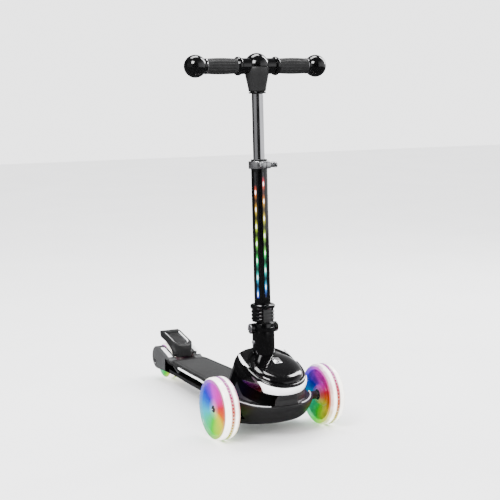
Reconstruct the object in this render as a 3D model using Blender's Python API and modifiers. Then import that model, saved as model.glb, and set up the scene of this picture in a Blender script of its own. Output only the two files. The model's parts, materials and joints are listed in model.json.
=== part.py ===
"""Three-wheel kick scooter for a child, in metres, +Z up, with its front towards -Y.

The origin is on the floor under the middle of the bounding box. Pieces are laid out from the
front axle line: empties carry the steering knuckles, the wheels, the folding stem, the sliding
handlebar and the brake fender, so that each moving piece turns about its own joint axis.
"""

import math

import bmesh
import bpy
from mathutils import Matrix, Vector

# ---------------------------------------------------------------- driving sizes
GAP = 0.0003  # between pieces that rest on or in each other

FRONT_WHEEL_RADIUS = 0.060
FRONT_WHEEL_WIDTH = 0.0324
TRACK = 0.2272  # between the middles of the front wheels
REAR_WHEEL_RADIUS = 0.040
REAR_WHEEL_WIDTH = 0.0344
WHEELBASE = 0.4725

TYRE_DEPTH = 0.0105
BEARING_RADIUS = 0.011
BEARING_WIDTH = 0.007
AXLE_RADIUS = 0.004
HUB_CAP_RADIUS = 0.0058

LIP_HEIGHT = 0.0655  # top edge of the nose
LIP_RISE = 0.008  # how far that edge rises towards the wheels
NOSE_FRONT = -0.068
NOSE_REAR = 0.112
NOSE_HALF_WIDTH = 0.086
NOSE_FLOOR = 0.024

DECK_TOP = 0.060
DECK_BOTTOM = 0.031
DECK_FRONT = 0.080
DECK_REAR = WHEELBASE - 0.0545
DECK_HALF_WIDTH_FRONT = 0.062
DECK_HALF_WIDTH_WAIST = 0.0455
DECK_RECESS = 0.010  # depth of the groove along each side
MAT_THICKNESS = 0.0028
TRIM_THICKNESS = 0.0016

ARM_INNER = REAR_WHEEL_WIDTH / 2 + 0.005
ARM_START = WHEELBASE - 0.1005  # where the arms grow out of the deck
ARM_THICKNESS = 0.018
ARM_SLOPE_MIDDLE = WHEELBASE - 0.0485
ARM_SLOPE_END = WHEELBASE - 0.0305
ARM_TOP = 0.078
ARM_END_RADIUS = 0.025

KINGPIN_X = 0.074
KINGPIN_Z = FRONT_WHEEL_RADIUS - 0.010
KINGPIN_TILT = math.radians(40)
KINGPIN_RADIUS = 0.003
BARREL_RADIUS = 0.008
BARREL_LENGTH = 0.018
STEER_ARM = 0.018
TIE_ROD_RADIUS = 0.003

COVER_TILT = math.radians(20)
COVER_TOP_Y = -0.012
COVER_TOP_Z = 0.128
COVER_TOP_HALF_WIDTH = 0.057
COVER_WALL = 0.0025
PUCK_HALF_WIDTH = 0.0505
PUCK_CROWN = 0.0095
LIGHT_THICKNESS = 0.0024

STEM_LEAN = math.radians(3.17)
PIVOT_Y = 0.0375
PIVOT_Z = 0.197
SOCKET_RADIUS = 0.0215
SOCKET_DEPTH = 0.090
FOLD_PIN_RADIUS = 0.004
LUG_RADIUS = 0.0123
TONGUE_WIDTH = 0.018

STEM_RADIUS = 0.0157
STEM_WALL = 0.0021
STEM_START = 0.0145
STEM_END = 0.322
COLLAR_START = 0.0128
COLLAR_END = 0.047
COLLAR_RADIUS = SOCKET_RADIUS
FOOT_PLUG_END = COLLAR_END + 0.038
LED_WIDTH = 0.004
LED_DEPTH = 0.0012

CLAMP_START = STEM_END - 0.015
CLAMP_END = STEM_END + 0.0025
CLAMP_WALL = 0.0042
CLAMP_BOLT_RADIUS = 0.0025
LEVER_PIVOT_X = STEM_RADIUS + 0.0008
LEVER_HUB_RADIUS = 0.0062

INNER_TUBE_RADIUS = 0.011
INNER_TUBE_START = STEM_END - 0.122
BAR_HEIGHT = 0.5013
TEE_START = BAR_HEIGHT - 0.0516
TEE_TOP = BAR_HEIGHT + 0.0247
TEE_RADIUS = 0.024
TEE_FOOT_RADIUS = 0.0165
BAR_RADIUS = 0.0105
GRIP_START = 0.036
GRIP_END = 0.108
GRIP_RADIUS = 0.0155
BALL_X = 0.1287
BALL_RADIUS = 0.0213
BALL_NECK_RADIUS = GRIP_RADIUS - 0.0012

FENDER_HALF_WIDTH = ARM_INNER - 0.001
FENDER_WALL = 0.0024
FENDER_TOP = 0.1185
BRAKE_GAP = 0.0042
FENDER_PIN_AHEAD = 0.0705  # of the rear axle
FENDER_PIN_Z = 0.0705
FENDER_PIN_RADIUS = 0.0022

BUTTON_RADIUS = 0.0042
BUTTON_DROP = 0.027  # below the fold pin

ROUND = 16  # sides of tubes and turned pieces
FINE = 12  # sides of small pins, bores and bolts
WHEEL_SIDES = 28
HULL_SIDES = 32

REAR_END = WHEELBASE + REAR_WHEEL_RADIUS
FRONT_END = min(NOSE_FRONT, -FRONT_WHEEL_RADIUS, COVER_TOP_Y - 0.064)
MIDDLE_Y = (REAR_END + FRONT_END) / 2


# ---------------------------------------------------------------- scene and materials
def clear_scene():
    for thing in list(bpy.data.objects):
        bpy.data.objects.remove(thing, do_unlink=True)


def new_collection(name):
    group = bpy.data.collections.new(name)
    bpy.context.scene.collection.children.link(group)
    return group


def finish(name, colour, roughness, metallic=0.0):
    mat = bpy.data.materials.new(name)
    mat.use_nodes = True
    shader = mat.node_tree.nodes["Principled BSDF"]
    shader.inputs["Base Color"].default_value = (*colour, 1.0)
    shader.inputs["Roughness"].default_value = roughness
    shader.inputs["Metallic"].default_value = metallic
    return mat


clear_scene()
PARTS = new_collection("kick_scooter")
CUTTERS = new_collection("cutters")

SATIN = finish("satin_black", (0.030, 0.031, 0.033), 0.42)
GLOSS = finish("gloss_black", (0.008, 0.008, 0.009), 0.10)
RUBBER = finish("grip_rubber", (0.045, 0.046, 0.048), 0.75)
SILVER = finish("silver_trim", (0.80, 0.81, 0.82), 0.30, 0.6)
CHROME = finish("chrome", (0.85, 0.85, 0.86), 0.08, 1.0)
STEEL = finish("steel", (0.55, 0.55, 0.56), 0.30, 1.0)
LIGHT = finish("light_white", (0.92, 0.93, 0.94), 0.25)
URETHANE = finish("clear_urethane", (0.95, 0.88, 0.88), 0.15)
CORE = finish("glowing_core", (0.85, 0.25, 0.55), 0.35)


def mount(thing, parent, location, rotation):
    thing.parent = parent
    thing.location = location
    thing.rotation_euler = rotation


def frame_empty(name, parent, location, rotation=(0, 0, 0)):
    empty = bpy.data.objects.new(name, None)
    PARTS.objects.link(empty)
    mount(empty, parent, location, rotation)
    return empty


def piece(name, mesh, mat, parent, location=(0, 0, 0), rotation=(0, 0, 0)):
    thing = bpy.data.objects.new(name, mesh)
    PARTS.objects.link(thing)
    mount(thing, parent, location, rotation)
    mesh.materials.append(mat)
    return thing


def hidden_tool(name, mesh, parent, location=(0, 0, 0), rotation=(0, 0, 0)):
    tool = bpy.data.objects.new(name, mesh)
    CUTTERS.objects.link(tool)
    mount(tool, parent, location, rotation)
    tool.hide_render = True
    tool.display_type = "WIRE"
    return tool


def combine(thing, tool, operation="DIFFERENCE"):
    step = thing.modifiers.new(tool.name, "BOOLEAN")
    step.operation = operation
    step.solver = "EXACT"
    step.object = tool


def round_edges(thing, width, segments=1, angle=35):
    step = thing.modifiers.new("rounding", "BEVEL")
    step.width = width
    step.segments = segments
    step.limit_method = "ANGLE"
    step.angle_limit = math.radians(angle)


def shade_round(mesh, angle=35):
    mesh.shade_smooth()
    mesh.set_sharp_from_angle(angle=math.radians(angle))


# ---------------------------------------------------------------- shape makers
def rod(name, radius, length, sides=ROUND, along="Z", tip_radius=None):
    """A solid cylinder or cone centred on its origin."""
    shape = bmesh.new()
    tip = radius if tip_radius is None else tip_radius
    bmesh.ops.create_cone(
        shape, cap_ends=True, segments=sides, radius1=radius, radius2=tip, depth=length
    )
    if along == "X":
        bmesh.ops.rotate(shape, verts=shape.verts, matrix=Matrix.Rotation(math.pi / 2, 3, "Y"))
    if along == "Y":
        bmesh.ops.rotate(shape, verts=shape.verts, matrix=Matrix.Rotation(-math.pi / 2, 3, "X"))
    mesh = bpy.data.meshes.new(name)
    shape.to_mesh(mesh)
    shape.free()
    shade_round(mesh)
    return mesh


def block(name, low, high):
    """A box between two corners."""
    shape = bmesh.new()
    size = Vector(high) - Vector(low)
    middle = (Vector(high) + Vector(low)) / 2
    bmesh.ops.create_cube(shape, size=1.0)
    bmesh.ops.scale(shape, verts=shape.verts, vec=size)
    bmesh.ops.translate(shape, verts=shape.verts, vec=middle)
    mesh = bpy.data.meshes.new(name)
    shape.to_mesh(mesh)
    shape.free()
    return mesh


def profile_mesh(name, profile, closed):
    """The outline that a Screw modifier turns, as (radius, height) pairs, down the outside."""
    mesh = bpy.data.meshes.new(name)
    corners = [(radius, 0.0, height) for radius, height in profile]
    edges = [(i, i + 1) for i in range(len(corners) - 1)]
    if closed:
        edges.append((len(corners) - 1, 0))
    mesh.from_pydata(corners, edges, [])
    return mesh


def screw(thing, sides):
    step = thing.modifiers.new("turned", "SCREW")
    step.axis = "Z"
    step.angle = 2 * math.pi
    step.steps = sides
    step.render_steps = sides
    step.use_merge_vertices = True
    step.merge_threshold = 0.00001
    step.use_smooth_shade = True


def turned(name, profile, mat, parent, location=(0, 0, 0), rotation=(0, 0, 0), sides=ROUND):
    """A turned piece: closed when its profile keeps off the axis, capped when it starts on it."""
    closed = profile[0][0] > 0
    thing = piece(name, profile_mesh(name, profile, closed), mat, parent, location, rotation)
    screw(thing, sides)
    return thing


def ring(outer, inner, low, high):
    return [(outer, high), (outer, low), (inner, low), (inner, high)]


def loft(name, rings):
    """A closed body through rings of equal point count, with a fan over each end."""
    count = len(rings[0])
    corners = [tuple(point) for loop in rings for point in loop]
    faces = []
    for level in range(len(rings) - 1):
        for i in range(count):
            j = (i + 1) % count
            lower = level * count
            upper = lower + count
            faces.append((lower + i, lower + j, upper + j, upper + i))
    for level, order in ((0, -1), (len(rings) - 1, 1)):
        middle = sum((Vector(point) for point in rings[level]), Vector()) / count
        centre = len(corners)
        corners.append(tuple(middle))
        start = level * count
        for i in range(count):
            j = (i + 1) % count
            edge = (start + i, start + j)
            faces.append((edge[::order][0], edge[::order][1], centre))
    mesh = bpy.data.meshes.new(name)
    mesh.from_pydata(corners, [], faces)
    shape = bmesh.new()
    shape.from_mesh(mesh)
    bmesh.ops.recalc_face_normals(shape, faces=shape.faces)
    shape.to_mesh(mesh)
    shape.free()
    shade_round(mesh)
    return mesh


def plate(name, outline, half_thickness, centre_x=0.0, smooth=False):
    """A flat outline in the side view, as (y, z) pairs, made solid across X."""
    curve = bpy.data.curves.new(name, "CURVE")
    curve.dimensions = "2D"
    curve.fill_mode = "BOTH"
    curve.extrude = half_thickness
    if smooth:
        spline = curve.splines.new("BEZIER")
        spline.bezier_points.add(len(outline) - 1)
        spline.resolution_u = 4
        for knot, (y, z) in zip(spline.bezier_points, outline):
            knot.co = (y, z, 0)
            knot.handle_left_type = "AUTO"
            knot.handle_right_type = "AUTO"
    else:
        spline = curve.splines.new("POLY")
        spline.points.add(len(outline) - 1)
        for knot, (y, z) in zip(spline.points, outline):
            knot.co = (y, z, 0, 1)
    spline.use_cyclic_u = True
    drawn = bpy.data.objects.new(name, curve)
    bpy.context.scene.collection.objects.link(drawn)
    bpy.context.view_layer.update()
    graph = bpy.context.evaluated_depsgraph_get()
    mesh = bpy.data.meshes.new_from_object(drawn.evaluated_get(graph))
    bpy.data.objects.remove(drawn, do_unlink=True)
    shape = bmesh.new()
    shape.from_mesh(mesh)
    bmesh.ops.remove_doubles(shape, verts=shape.verts, dist=0.00001)
    # local X runs along the scooter, local Y up and local Z across it
    across = Matrix(((0, 0, 1), (1, 0, 0), (0, 1, 0)))
    bmesh.ops.rotate(shape, verts=shape.verts, matrix=across)
    bmesh.ops.translate(shape, verts=shape.verts, vec=(centre_x, 0, 0))
    bmesh.ops.recalc_face_normals(shape, faces=shape.faces)
    shape.to_mesh(mesh)
    shape.free()
    shade_round(mesh)
    return mesh


def blend_value(y, stations):
    """A smooth value along Y through (y, value) stations."""
    if y <= stations[0][0]:
        return stations[0][1]
    for (y0, v0), (y1, v1) in zip(stations, stations[1:]):
        if y <= y1:
            t = (y - y0) / (y1 - y0)
            return v0 + (v1 - v0) * t * t * (3 - 2 * t)
    return stations[-1][1]


def oval(front, rear, half_width, height, power=2.2, sides=HULL_SIDES):
    """A level or shaped oval; height is a function of x and y."""
    middle = (front + rear) / 2
    half_length = (rear - front) / 2
    points = []
    for i in range(sides):
        turn = 2 * math.pi * (i + 0.5) / sides
        c = math.cos(turn)
        s = math.sin(turn)
        x = half_width * math.copysign(abs(c) ** (2 / power), c)
        y = middle + half_length * math.copysign(abs(s) ** (2 / power), s)
        points.append(Vector((x, y, height(x, y))))
    return points


# ---------------------------------------------------------------- frames of the moving pieces
ROOT = frame_empty("scooter", None, (0, -MIDDLE_Y, 0))
STEM = frame_empty("stem_axis", ROOT, (0, PIVOT_Y, PIVOT_Z), (-STEM_LEAN, 0, 0))
BAR = frame_empty("handlebar_axis", STEM, (0, 0, BAR_HEIGHT))
FENDER_PIN_Y = WHEELBASE - FENDER_PIN_AHEAD
BRAKE = frame_empty("brake_axis", ROOT, (0, FENDER_PIN_Y, FENDER_PIN_Z))
REAR = frame_empty("rear_axle_axis", ROOT, (0, WHEELBASE, REAR_WHEEL_RADIUS))
SIDES = (("left", -1), ("right", 1))
KNUCKLE_FRAMES = {
    side: frame_empty(
        "kingpin_axis_" + side, ROOT, (sign * KINGPIN_X, 0, KINGPIN_Z), (KINGPIN_TILT, 0, 0)
    )
    for side, sign in SIDES
}
WHEEL_FRAMES = {
    side: frame_empty(
        "wheel_axis_" + side,
        ROOT,
        (sign * TRACK / 2, 0, FRONT_WHEEL_RADIUS),
        (0, sign * math.pi / 2, 0),
    )
    for side, sign in SIDES
}


# ---------------------------------------------------------------- deck and nose
def lip_rise(x):
    return LIP_RISE * (x / NOSE_HALF_WIDTH) ** 4


def nose_hull():
    """The boat-shaped nose, undercut at the front, closed under the steering gear."""
    levels = (
        (NOSE_FLOOR, NOSE_FRONT + 0.040, NOSE_HALF_WIDTH - 0.008, 0.0),
        (NOSE_FLOOR + 0.008, NOSE_FRONT + 0.028, NOSE_HALF_WIDTH - 0.003, 0.0),
        (NOSE_FLOOR + 0.020, NOSE_FRONT + 0.015, NOSE_HALF_WIDTH - 0.001, 0.3),
        (LIP_HEIGHT - 0.009, NOSE_FRONT + 0.003, NOSE_HALF_WIDTH, 1.0),
        (LIP_HEIGHT - 0.0015, NOSE_FRONT, NOSE_HALF_WIDTH, 1.0),
    )
    insets = (0.0015, 0.009, 0.018, 0.030, 0.045)
    levels += tuple((LIP_HEIGHT, NOSE_FRONT + d, NOSE_HALF_WIDTH - d, 1.0) for d in insets)
    rings = []
    for height, front, half_width, rise in levels:
        inset = max(0.0, NOSE_HALF_WIDTH - half_width)
        rings.append(
            oval(
                front,
                NOSE_REAR - inset,
                half_width,
                lambda x, y, h=height, r=rise: h + r * lip_rise(x),
            )
        )
    return loft("deck_frame", rings)


def deck_half_width(y):
    stations = (
        (DECK_FRONT, DECK_HALF_WIDTH_FRONT),
        (DECK_REAR - 0.178, DECK_HALF_WIDTH_WAIST + 0.004),
        (DECK_REAR - 0.038, DECK_HALF_WIDTH_WAIST),
        (DECK_REAR, ARM_INNER + ARM_THICKNESS - 0.001),
    )
    return blend_value(y, stations)


def deck_section(y):
    """One cross section of the deck: a flat top, a deep side groove and a lower rail."""
    wide = deck_half_width(y)
    deep = wide - DECK_RECESS
    rail = wide - 0.003
    side = [
        (wide, DECK_TOP),
        (wide, DECK_TOP - 0.0055),
        (deep, DECK_TOP - 0.0075),
        (deep, DECK_BOTTOM + 0.0115),
        (rail, DECK_BOTTOM + 0.0100),
        (rail, DECK_BOTTOM + 0.0030),
        (rail - 0.005, DECK_BOTTOM),
    ]
    right = [Vector((x, y, z)) for x, z in side]
    left = [Vector((-x, y, z)) for x, z in reversed(side)]
    return right + left


def deck_beam():
    steps = 14
    stations = [DECK_FRONT + (DECK_REAR - DECK_FRONT) * i / steps for i in range(steps + 1)]
    return loft("deck_beam", [deck_section(y) for y in stations])


def arm_outline():
    """Side view of a rear arm, from the deck up and round the end of the rear axle."""
    back = WHEELBASE - 0.010
    middle_z = ARM_TOP - ARM_END_RADIUS
    points = [(ARM_START, DECK_BOTTOM + 0.001), (ARM_START, DECK_TOP - 0.001)]
    points.append((WHEELBASE - 0.0745, DECK_TOP + 0.004))
    points += [(ARM_SLOPE_MIDDLE, ARM_TOP - 0.006), (ARM_SLOPE_END, ARM_TOP - 0.001)]
    for turn in (90, 60, 30, 0, -30, -60, -90):
        a = math.radians(turn)
        points.append((back + ARM_END_RADIUS * math.cos(a), middle_z + ARM_END_RADIUS * math.sin(a)))
    points.append((WHEELBASE - 0.0425, DECK_BOTTOM - 0.001))
    return points


def wheel_slot():
    """Side view of the space between the arms, behind the deck and above its rear end."""
    seat = DECK_TOP - 0.0002
    start = ARM_START - 0.020
    outline = [(start, seat), (DECK_REAR, seat), (DECK_REAR, -0.01)]
    return outline + [(WHEELBASE + 0.1, -0.01), (WHEELBASE + 0.1, 0.2), (start, 0.2)]


def steering_room():
    """Cutter for the hollow that holds the knuckles, the kingpins and the tie rod."""
    top = COVER_TOP_Z
    floor = KINGPIN_Z - 0.014
    reach = BARREL_RADIUS + 0.0085
    inside = hidden_tool(
        "steering_room",
        block("steering_room", (-0.062, -0.020, floor), (0.062, 0.050, top)),
        ROOT,
    )
    wide = NOSE_HALF_WIDTH + 0.01
    pockets = hidden_tool(
        "knuckle_pockets",
        block("knuckle_pockets", (-wide, -reach, floor), (wide, reach + 0.004, top)),
        ROOT,
    )
    combine(inside, pockets, "UNION")
    return inside


def kingpin_bore(side):
    length = 0.060
    name = "kingpin_bore_" + side
    mesh = rod(name, KINGPIN_RADIUS + GAP, length, FINE)
    return hidden_tool(name, mesh, KNUCKLE_FRAMES[side])


def cross_bore(name, radius, length, parent, location, sides=ROUND):
    return hidden_tool(name, rod(name, radius, length, sides, "X"), parent, location)


def deck_frame():
    frame = piece("deck_frame", nose_hull(), SATIN, ROOT)
    combine(frame, hidden_tool("deck_beam", deck_beam(), ROOT), "UNION")
    arms = plate("rear_arms", arm_outline(), ARM_INNER + ARM_THICKNESS)
    combine(frame, hidden_tool("rear_arms", arms, ROOT), "UNION")
    combine(frame, hidden_tool("wheel_slot", plate("wheel_slot", wheel_slot(), ARM_INNER), ROOT))
    combine(frame, steering_room())
    for side, _ in SIDES:
        combine(frame, kingpin_bore(side))
    wide = 2 * (ARM_INNER + ARM_THICKNESS) + 0.02
    combine(frame, cross_bore("rear_axle_bore", AXLE_RADIUS + GAP, wide, REAR, (0, 0, 0)))
    for side, sign in SIDES:
        outer = sign * (ARM_INNER + ARM_THICKNESS)
        sink = cross_bore("axle_sink_" + side, 0.0078, 0.008, REAR, (outer, 0, 0))
        combine(frame, sink)
    pin_room = cross_bore(
        "fender_pin_bore",
        FENDER_PIN_RADIUS + GAP,
        2 * (ARM_INNER + 0.008),
        BRAKE,
        (0, 0, 0),
        16,
    )
    combine(frame, pin_room)
    return frame


def grip_mat():
    """The ribbed mat lies on the deck from behind the head cover to ahead of the fender."""
    start = NOSE_REAR + GAP
    end = ARM_START - 0.002
    steps = 10
    low = DECK_TOP + GAP
    high = low + MAT_THICKNESS
    rings = []
    for i in range(steps + 1):
        y = start + (end - start) * i / steps
        wide = deck_half_width(y) - 0.0045
        corners = ((wide, low), (wide, high - 0.001), (wide - 0.0015, high))
        right = [Vector((x, y, z)) for x, z in corners]
        left = [Vector((-x, y, z)) for x, z in reversed(corners)]
        rings.append(right + left)
    return piece("grip_mat", loft("grip_mat", rings), RUBBER, ROOT)


def side_trim(side, sign):
    """A bright strip along the top edge of the deck."""
    start = NOSE_REAR + 0.004
    end = ARM_START - 0.042
    steps = 10
    low = DECK_TOP - 0.0050
    high = DECK_TOP - 0.0006
    rings = []
    for i in range(steps + 1):
        y = start + (end - start) * i / steps
        inner = deck_half_width(y) + GAP
        outer = inner + TRIM_THICKNESS
        corners = ((inner, low), (outer, low + 0.0006), (outer, high - 0.0006), (inner, high))
        rings.append([Vector((sign * x, y, z)) for x, z in corners])
    name = "side_trim_" + side
    return piece(name, loft(name, rings), SILVER, ROOT)


def tail_strip(side, sign):
    """A bright strip laid along the sloping top of a rear arm."""
    lift = GAP + 0.0001
    thick = 0.0016
    low_side = [(WHEELBASE - 0.0725, DECK_TOP + 0.0047)]
    low_side += [(ARM_SLOPE_MIDDLE, ARM_TOP - 0.006), (ARM_SLOPE_END, ARM_TOP - 0.001)]
    lower = [(y - lift * 0.5, z + lift * 1.2) for y, z in low_side]
    upper = [(y - thick * 0.4, z + thick + lift) for y, z in reversed(low_side)]
    centre = sign * (ARM_INNER + ARM_THICKNESS / 2 + 0.003)
    name = "tail_strip_" + side
    mesh = plate(name, lower + upper, 0.0045, centre)
    return piece(name, mesh, SILVER, ROOT)


# ---------------------------------------------------------------- head
def cap_height(x, y):
    return COVER_TOP_Z + math.tan(COVER_TILT) * (y - COVER_TOP_Y)


def cover_rings(shrink=0.0):
    """Rings of the head cover from its foot up to its tilted top, drawn in by shrink."""
    foot = LIP_HEIGHT + GAP
    drop = shrink * 1.2
    wide = COVER_TOP_HALF_WIDTH
    cap_front = COVER_TOP_Y - 0.060
    cap_rear = COVER_TOP_Y + 0.075
    levels = (
        (NOSE_FRONT + 0.009, 0.108, 0.079, lambda x, y: foot + lip_rise(x)),
        (NOSE_FRONT + 0.010, 0.104, 0.074, lambda x, y: foot + 0.010 + lip_rise(x)),
        (NOSE_FRONT + 0.003, 0.084, wide + 0.009, lambda x, y: cap_height(x, y) - 0.022 - drop),
        (cap_front - 0.002, 0.071, wide + 0.002, lambda x, y: cap_height(x, y) - 0.009 - drop),
        (cap_front, cap_rear, wide, lambda x, y: cap_height(x, y) - 0.0025 - drop),
        (cap_front + 0.003, cap_rear - 0.003, wide - 0.003, lambda x, y: cap_height(x, y) - drop),
    )
    return [
        oval(front + shrink, rear - shrink, half - shrink, height)
        for front, rear, half, height in levels
    ]


def socket_room(name, extra):
    mesh = rod(name, SOCKET_RADIUS + extra, 0.200)
    return hidden_tool(name, mesh, STEM)


def head_cover():
    cover = piece("head_cover", loft("head_cover", cover_rings()), GLOSS, ROOT)
    hollow = cover_rings(COVER_WALL)
    hollow[0] = [Vector((p.x, p.y, p.z - 0.010)) for p in hollow[0]]
    combine(cover, hidden_tool("cover_hollow", loft("cover_hollow", hollow), ROOT))
    combine(cover, socket_room("cover_socket_hole", GAP))
    return cover


def head_puck():
    """The domed oval cap on the head, notched round the stem socket."""
    front = COVER_TOP_Y - 0.054
    rear = COVER_TOP_Y + 0.048
    levels = (
        (0.0, 0.0, GAP),
        (0.0, 0.0, 0.30 * PUCK_CROWN),
        (0.003, 0.003, 0.62 * PUCK_CROWN),
        (0.012, 0.012, 0.88 * PUCK_CROWN),
        (0.026, 0.026, PUCK_CROWN),
    )
    rings = []
    for inset, pull, rise in levels:
        rings.append(
            oval(
                front + pull,
                rear - pull,
                PUCK_HALF_WIDTH - inset,
                lambda x, y, r=rise: cap_height(x, y) + r,
                2.0,
            )
        )
    puck = piece("head_puck", loft("head_puck", rings), GLOSS, ROOT)
    combine(puck, socket_room("puck_notch", 0.0012))
    return puck


def crescent_light():
    """The white light that wraps the front of the head below the puck."""
    rings = cover_rings()
    low = rings[2]
    high = rings[3]
    count = len(low)
    rows = []
    for i in range(count // 2 - 1, count + 1):
        i = i % count
        base = low[i]
        top = high[i]
        along = top - base
        out = Vector((base.x, base.y - 0.010, 0)).normalized()
        inner_low = base + along * 0.04 + out * (GAP + 0.0008)
        inner_high = base + along * 0.92 + out * (GAP + 0.0008)
        outer_low = inner_low + out * LIGHT_THICKNESS
        outer_high = inner_high + out * LIGHT_THICKNESS * 0.7
        rows.append([inner_low, outer_low, outer_high, inner_high])
    return piece("crescent_light", loft("crescent_light", rows), LIGHT, ROOT)


def battery_box():
    low = (-0.026, -0.040, LIP_HEIGHT + 0.009)
    high = (0.026, 0.004, LIP_HEIGHT + 0.031)
    box = piece("battery_box", block("battery_box", low, high), SATIN, ROOT)
    round_edges(box, 0.002)
    return box


# ---------------------------------------------------------------- stem socket and fold
def stem_socket():
    """The fixed lower half of the stem: a post with a slotted head for the fold."""
    height = SOCKET_DEPTH + LUG_RADIUS - 0.003
    middle = (LUG_RADIUS - 0.003 - SOCKET_DEPTH) / 2
    post = piece(
        "stem_socket", rod("stem_socket", SOCKET_RADIUS, height), SATIN, STEM
    )
    post.data.transform(Matrix.Translation((0, 0, middle)))
    half = TONGUE_WIDTH / 2 + 2 * GAP
    front = -LUG_RADIUS - 0.0002
    slot = block("fold_slot", (-half, front, front - 0.001), (half, 0.04, 0.04))
    combine(post, hidden_tool("fold_slot", slot, STEM))
    collar_reach = COLLAR_RADIUS + 0.0045
    back = block("fold_relief", (-0.04, LUG_RADIUS + 0.0002, -collar_reach), (0.04, 0.04, 0.04))
    combine(post, hidden_tool("fold_relief", back, STEM))
    crown = hidden_tool("lug_crown", block("lug_crown", (-0.04, 0, 0), (0.04, 0.04, 0.04)), STEM)
    keep = hidden_tool("lug_keep", rod("lug_keep", LUG_RADIUS, 0.09, ROUND, "X"), STEM)
    combine(crown, keep)
    combine(post, crown)
    bore = cross_bore("fold_pin_bore", FOLD_PIN_RADIUS + GAP, 0.06, STEM, (0, 0, 0))
    combine(post, bore)
    room = rod("button_room", BUTTON_RADIUS + GAP, 0.012, FINE, "X")
    spot = (-SOCKET_RADIUS, 0, -BUTTON_DROP)
    combine(post, hidden_tool("button_room", room, STEM, spot))
    return post


def fold_pin():
    """The pivot of the stem, with a broad cap on each side."""
    tip = SOCKET_RADIUS + 0.0085
    step = SOCKET_RADIUS + 0.0008
    profile = [(0, tip), (0.0070, tip), (0.0085, tip - 0.0015), (0.0085, step)]
    profile += [(FOLD_PIN_RADIUS, step), (FOLD_PIN_RADIUS, -step), (0.0085, -step)]
    profile += [(0.0085, 0.0015 - tip), (0.0070, -tip), (0, -tip)]
    return turned("fold_pin", profile, STEEL, STEM, (0, 0, 0), (0, math.pi / 2, 0))


def lock_button():
    deep = 0.004
    out = 0.0022
    profile = [(0, out), (BUTTON_RADIUS - 0.001, out), (BUTTON_RADIUS, out - 0.0008)]
    profile += [(BUTTON_RADIUS, -deep + 0.001), (0, -deep + 0.001)]
    spot = (-SOCKET_RADIUS, 0, -BUTTON_DROP)
    return turned("lock_button", profile, STEEL, STEM, spot, (0, -math.pi / 2, 0), FINE)


def stem_foot():
    """The tongue on the fold pin, with the plug that carries the stem tube."""
    plug = STEM_RADIUS - STEM_WALL - GAP
    top = FOOT_PLUG_END
    foot = piece("stem_foot", rod("stem_foot", plug, top - STEM_START), SATIN, STEM)
    foot.data.transform(Matrix.Translation((0, 0, (top + STEM_START) / 2)))
    reach = LUG_RADIUS - 0.0013
    half = TONGUE_WIDTH / 2
    neck = block("tongue_neck", (-half, -reach, 0), (half, reach, STEM_START + 0.0001))
    combine(foot, hidden_tool("tongue_neck", neck, STEM), "UNION")
    eye = rod("tongue_eye", reach, TONGUE_WIDTH, ROUND, "X")
    combine(foot, hidden_tool("tongue_eye", eye, STEM), "UNION")
    bore = cross_bore("tongue_bore", FOLD_PIN_RADIUS + GAP, 0.05, STEM, (0, 0, 0))
    combine(foot, bore)
    return foot


def led_turns():
    return (("left", -60), ("front", 0), ("right", 60))


def stem_tube():
    profile = ring(STEM_RADIUS, STEM_RADIUS - STEM_WALL, STEM_START + GAP, STEM_END)
    tube = turned("stem_tube", profile, GLOSS, STEM)
    for side, turn in led_turns():
        half = LED_WIDTH / 2 + GAP
        floor = STEM_RADIUS - LED_DEPTH - GAP
        low = COLLAR_END + 0.012
        high = CLAMP_START - 0.006
        groove = block("led_groove", (-half, -STEM_RADIUS - 0.002, low), (half, -floor, high))
        tool = hidden_tool("led_groove_" + side, groove, STEM, (0, 0, 0), (0, 0, math.radians(turn)))
        combine(tube, tool)
    return tube


def led_strip(side, turn):
    half = LED_WIDTH / 2
    inner = STEM_RADIUS - LED_DEPTH
    outer = STEM_RADIUS - 0.0002
    low = COLLAR_END + 0.012 + GAP
    high = CLAMP_START - 0.006 - GAP
    mesh = block("led_strip_" + side, (-half, -outer, low), (half, -inner, high))
    return piece("led_strip_" + side, mesh, LIGHT, STEM, (0, 0, 0), (0, 0, math.radians(turn)))


def lock_collar():
    """The ribbed sleeve that slides up to free the fold."""
    bore = STEM_RADIUS + 0.0008
    sleeve = COLLAR_RADIUS - 0.0005
    rib = COLLAR_RADIUS + 0.0020
    flange = COLLAR_RADIUS + 0.0025
    top = COLLAR_END
    profile = [(flange - 0.0035, top), (flange - 0.0008, top - 0.0012), (flange, top - 0.0035)]
    profile += [(flange, top - 0.0065), (flange - 0.0012, top - 0.0088), (sleeve, top - 0.0095)]
    for i in range(3):
        crest = top - 0.0153 - i * 0.0066
        profile += [(sleeve, crest + 0.0020), (rib, crest), (sleeve, crest - 0.0020)]
    profile += [(sleeve - 0.0006, COLLAR_START), (bore, COLLAR_START), (bore, top)]
    return turned("lock_collar", profile, SATIN, STEM)


# ---------------------------------------------------------------- clamp and lever
def clamp_band():
    """The split band that grips the inner tube, with a pair of lugs at the front."""
    outer = STEM_RADIUS + GAP + CLAMP_WALL
    profile = ring(outer, STEM_RADIUS + GAP, CLAMP_START, CLAMP_END - 0.003)
    band = turned("clamp_band", profile, STEEL, STEM)
    reach = outer + 0.011
    low = CLAMP_START + 0.001
    high = CLAMP_END - 0.004
    lug = block("clamp_lug", (-0.0095, -reach, low), (0.0095, -outer + 0.002, high))
    combine(band, hidden_tool("clamp_lug", lug, STEM), "UNION")
    split = block("clamp_split", (-0.001, -0.05, CLAMP_START - 0.01), (0.001, -0.01, CLAMP_END + 0.01))
    combine(band, hidden_tool("clamp_split", split, STEM))
    place = (0, -outer - 0.0055, (low + high) / 2)
    combine(band, cross_bore("clamp_bolt_bore", CLAMP_BOLT_RADIUS + GAP, 0.04, STEM, place, FINE))
    return band


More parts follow.
